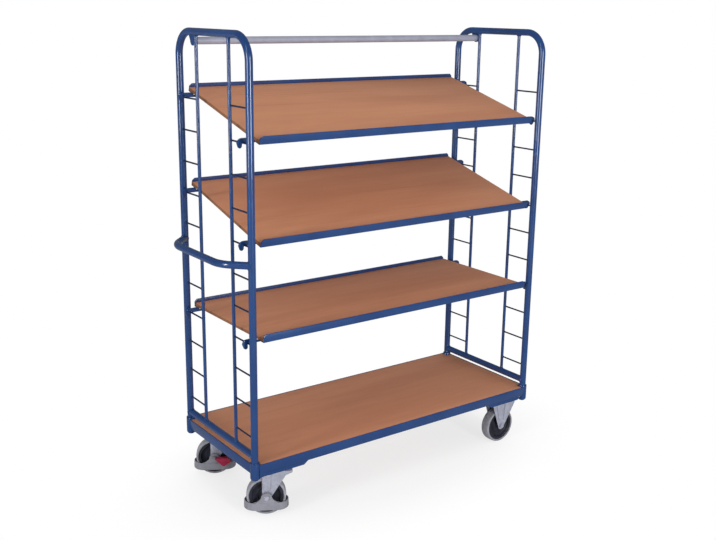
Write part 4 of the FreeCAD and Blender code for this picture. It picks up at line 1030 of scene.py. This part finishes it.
def white_floor():
    """Floor whose own shading fades to white with the distance from the trolley."""
    material, tree = empty_material("white_sweep")
    start = Wire(tree)
    place = start.node("ShaderNodeTexCoord", out=3)
    oval = place.stretched(1.0, 1.9, 0.0)
    flat = place.node("ShaderNodeVectorMath", {"operation": "LENGTH"}, {0: oval}, out=1)
    lit = start.node("ShaderNodeBsdfDiffuse", {}, {"Color": (0.90, 0.90, 0.90, 1.0)})
    white = start.node("ShaderNodeEmission", {}, {"Color": (1, 1, 1, 1), "Strength": 1.0})
    seen = start.node("ShaderNodeLightPath", out=0)
    dim = start.node("ShaderNodeEmission", {}, {"Color": (1, 1, 1, 1), "Strength": 0.10})
    mirrored = start.node("ShaderNodeLightPath", out=3)
    far = flat.band(0.55, 1.15)
    calm = start.node("ShaderNodeMixShader", {}, {0: 0.8 * mirrored, 1: lit, 2: dim})
    blend = start.node("ShaderNodeMixShader", {}, {0: seen * (0.70 + 0.30 * far), 1: calm, 2: white})
    output = tree.nodes.new("ShaderNodeOutputMaterial")
    tree.links.new(blend.socket, output.inputs[0])
    return material


def floor_disc(radius, rings=6, sides=96):
    """P(t, a) = t (cos a, sin a, 0), a flat disc."""
    r = radius * np.linspace(0.001, 1, rings)
    a = turn_angles(sides)
    xy = r[:, None, None] * np.stack([np.cos(a), np.sin(a)], -1)[None]
    points = np.concatenate([xy, np.zeros(xy.shape[:2] + (1,))], -1).reshape(-1, 3)
    mesh = bpy.data.meshes.new("floor")
    mesh.from_pydata(points.tolist(), [], grid_quads(rings, sides).tolist() + [list(range(sides))])
    mesh.materials.append(white_floor())
    made = added("floor", mesh)
    return made


floor_disc(FLOOR_RADIUS)
world = bpy.data.worlds.new("studio")
bpy.context.scene.world = world
world.use_nodes = True
tree = world.node_tree
tree.nodes.clear()
start = Wire(tree)
seen = start.node("ShaderNodeLightPath", out=0)
mirrored = start.node("ShaderNodeLightPath", out=3)
way = start.node("ShaderNodeTexCoord", out=0)
overhead = way.node("ShaderNodeSeparateXYZ", {}, {0: way}, out=2).band(0.2, 1.0)
light = 0.98 - 0.26 * overhead
level = light * (1 - seen - mirrored) + seen + 0.15 * mirrored
sky = start.node("ShaderNodeBackground", {}, {"Color": (1, 1, 1, 1), "Strength": level})
output = tree.nodes.new("ShaderNodeOutputWorld")
tree.links.new(sky.socket, output.inputs[0])


def stand(made, right, up, back, spot):
    """Places an object at spot and turns its own axes to the three directions."""
    columns = np.column_stack([right, up, back, spot])
    made.matrix_world = Matrix(columns.tolist() + [[0, 0, 0, 1]])


def soft_light(name, spot, aim, wide, tall, power):
    """An area lamp at spot that looks at aim."""
    lamp = bpy.data.lights.new(name, "AREA")
    lamp.shape = "RECTANGLE"
    lamp.size = wide
    lamp.size_y = tall
    lamp.energy = power
    back = unit(np.asarray(spot, float) - np.asarray(aim, float))
    right = unit(np.cross(Z, back))
    made = added(name, lamp)
    stand(made, right, np.cross(back, right), back, spot)
    return made


soft_light("left_strip", (-5.0, -0.9, 1.7), (-0.3, 0, 1.3), 0.8, 2.2, 95)
soft_light("front_strip", (-0.1, -4.9, 1.7), (0, 0, 1.2), 0.8, 2.2, 120)
soft_light("high_strip", (-2.9, -1.6, 3.6), (-0.4, 0, 1.2), 0.5, 1.2, 8)

# %% [markdown]
# The camera stands where the photograph was taken: left of the front, a little higher than the
# trolley, looking down by some fifteen degrees. Its directions are worked out from yaw, pitch and
# a slight roll.

# %% Camera
VIEW_FROM = np.array([-2.1621 + MID_X, -2.8909, 1.7295])
YAW, PITCH, ROLL = (math.radians(angle) for angle in (36.302, 14.810, 0.779))
FOCAL_PX, IMAGE_WIDE, IMAGE_HIGH, CENTRE_PX = 984.85, 716, 540, (358.33, 267.47)
SENSOR = 36.0
ahead = np.array([math.sin(YAW), math.cos(YAW), 0])
right = np.array([math.cos(YAW), -math.sin(YAW), 0])
look = ahead * math.cos(PITCH) - Z * math.sin(PITCH)
up = Z * math.cos(PITCH) + ahead * math.sin(PITCH)
rolled_right = right * math.cos(ROLL) + up * math.sin(ROLL)
rolled_up = up * math.cos(ROLL) - right * math.sin(ROLL)
camera_data = bpy.data.cameras.new("camera")
camera_data.sensor_width = SENSOR
camera_data.lens = FOCAL_PX * SENSOR / IMAGE_WIDE
camera_data.shift_x = (IMAGE_WIDE / 2 - CENTRE_PX[0]) / IMAGE_WIDE
camera_data.shift_y = (CENTRE_PX[1] - IMAGE_HIGH / 2) / IMAGE_WIDE
camera_data.clip_end = 100.0
camera = added("camera", camera_data)
stand(camera, rolled_right, rolled_up, -look, VIEW_FROM)
bpy.context.scene.camera = camera
bpy.context.scene.view_settings.view_transform = "Standard"
print("camera lens", round(camera_data.lens, 2))
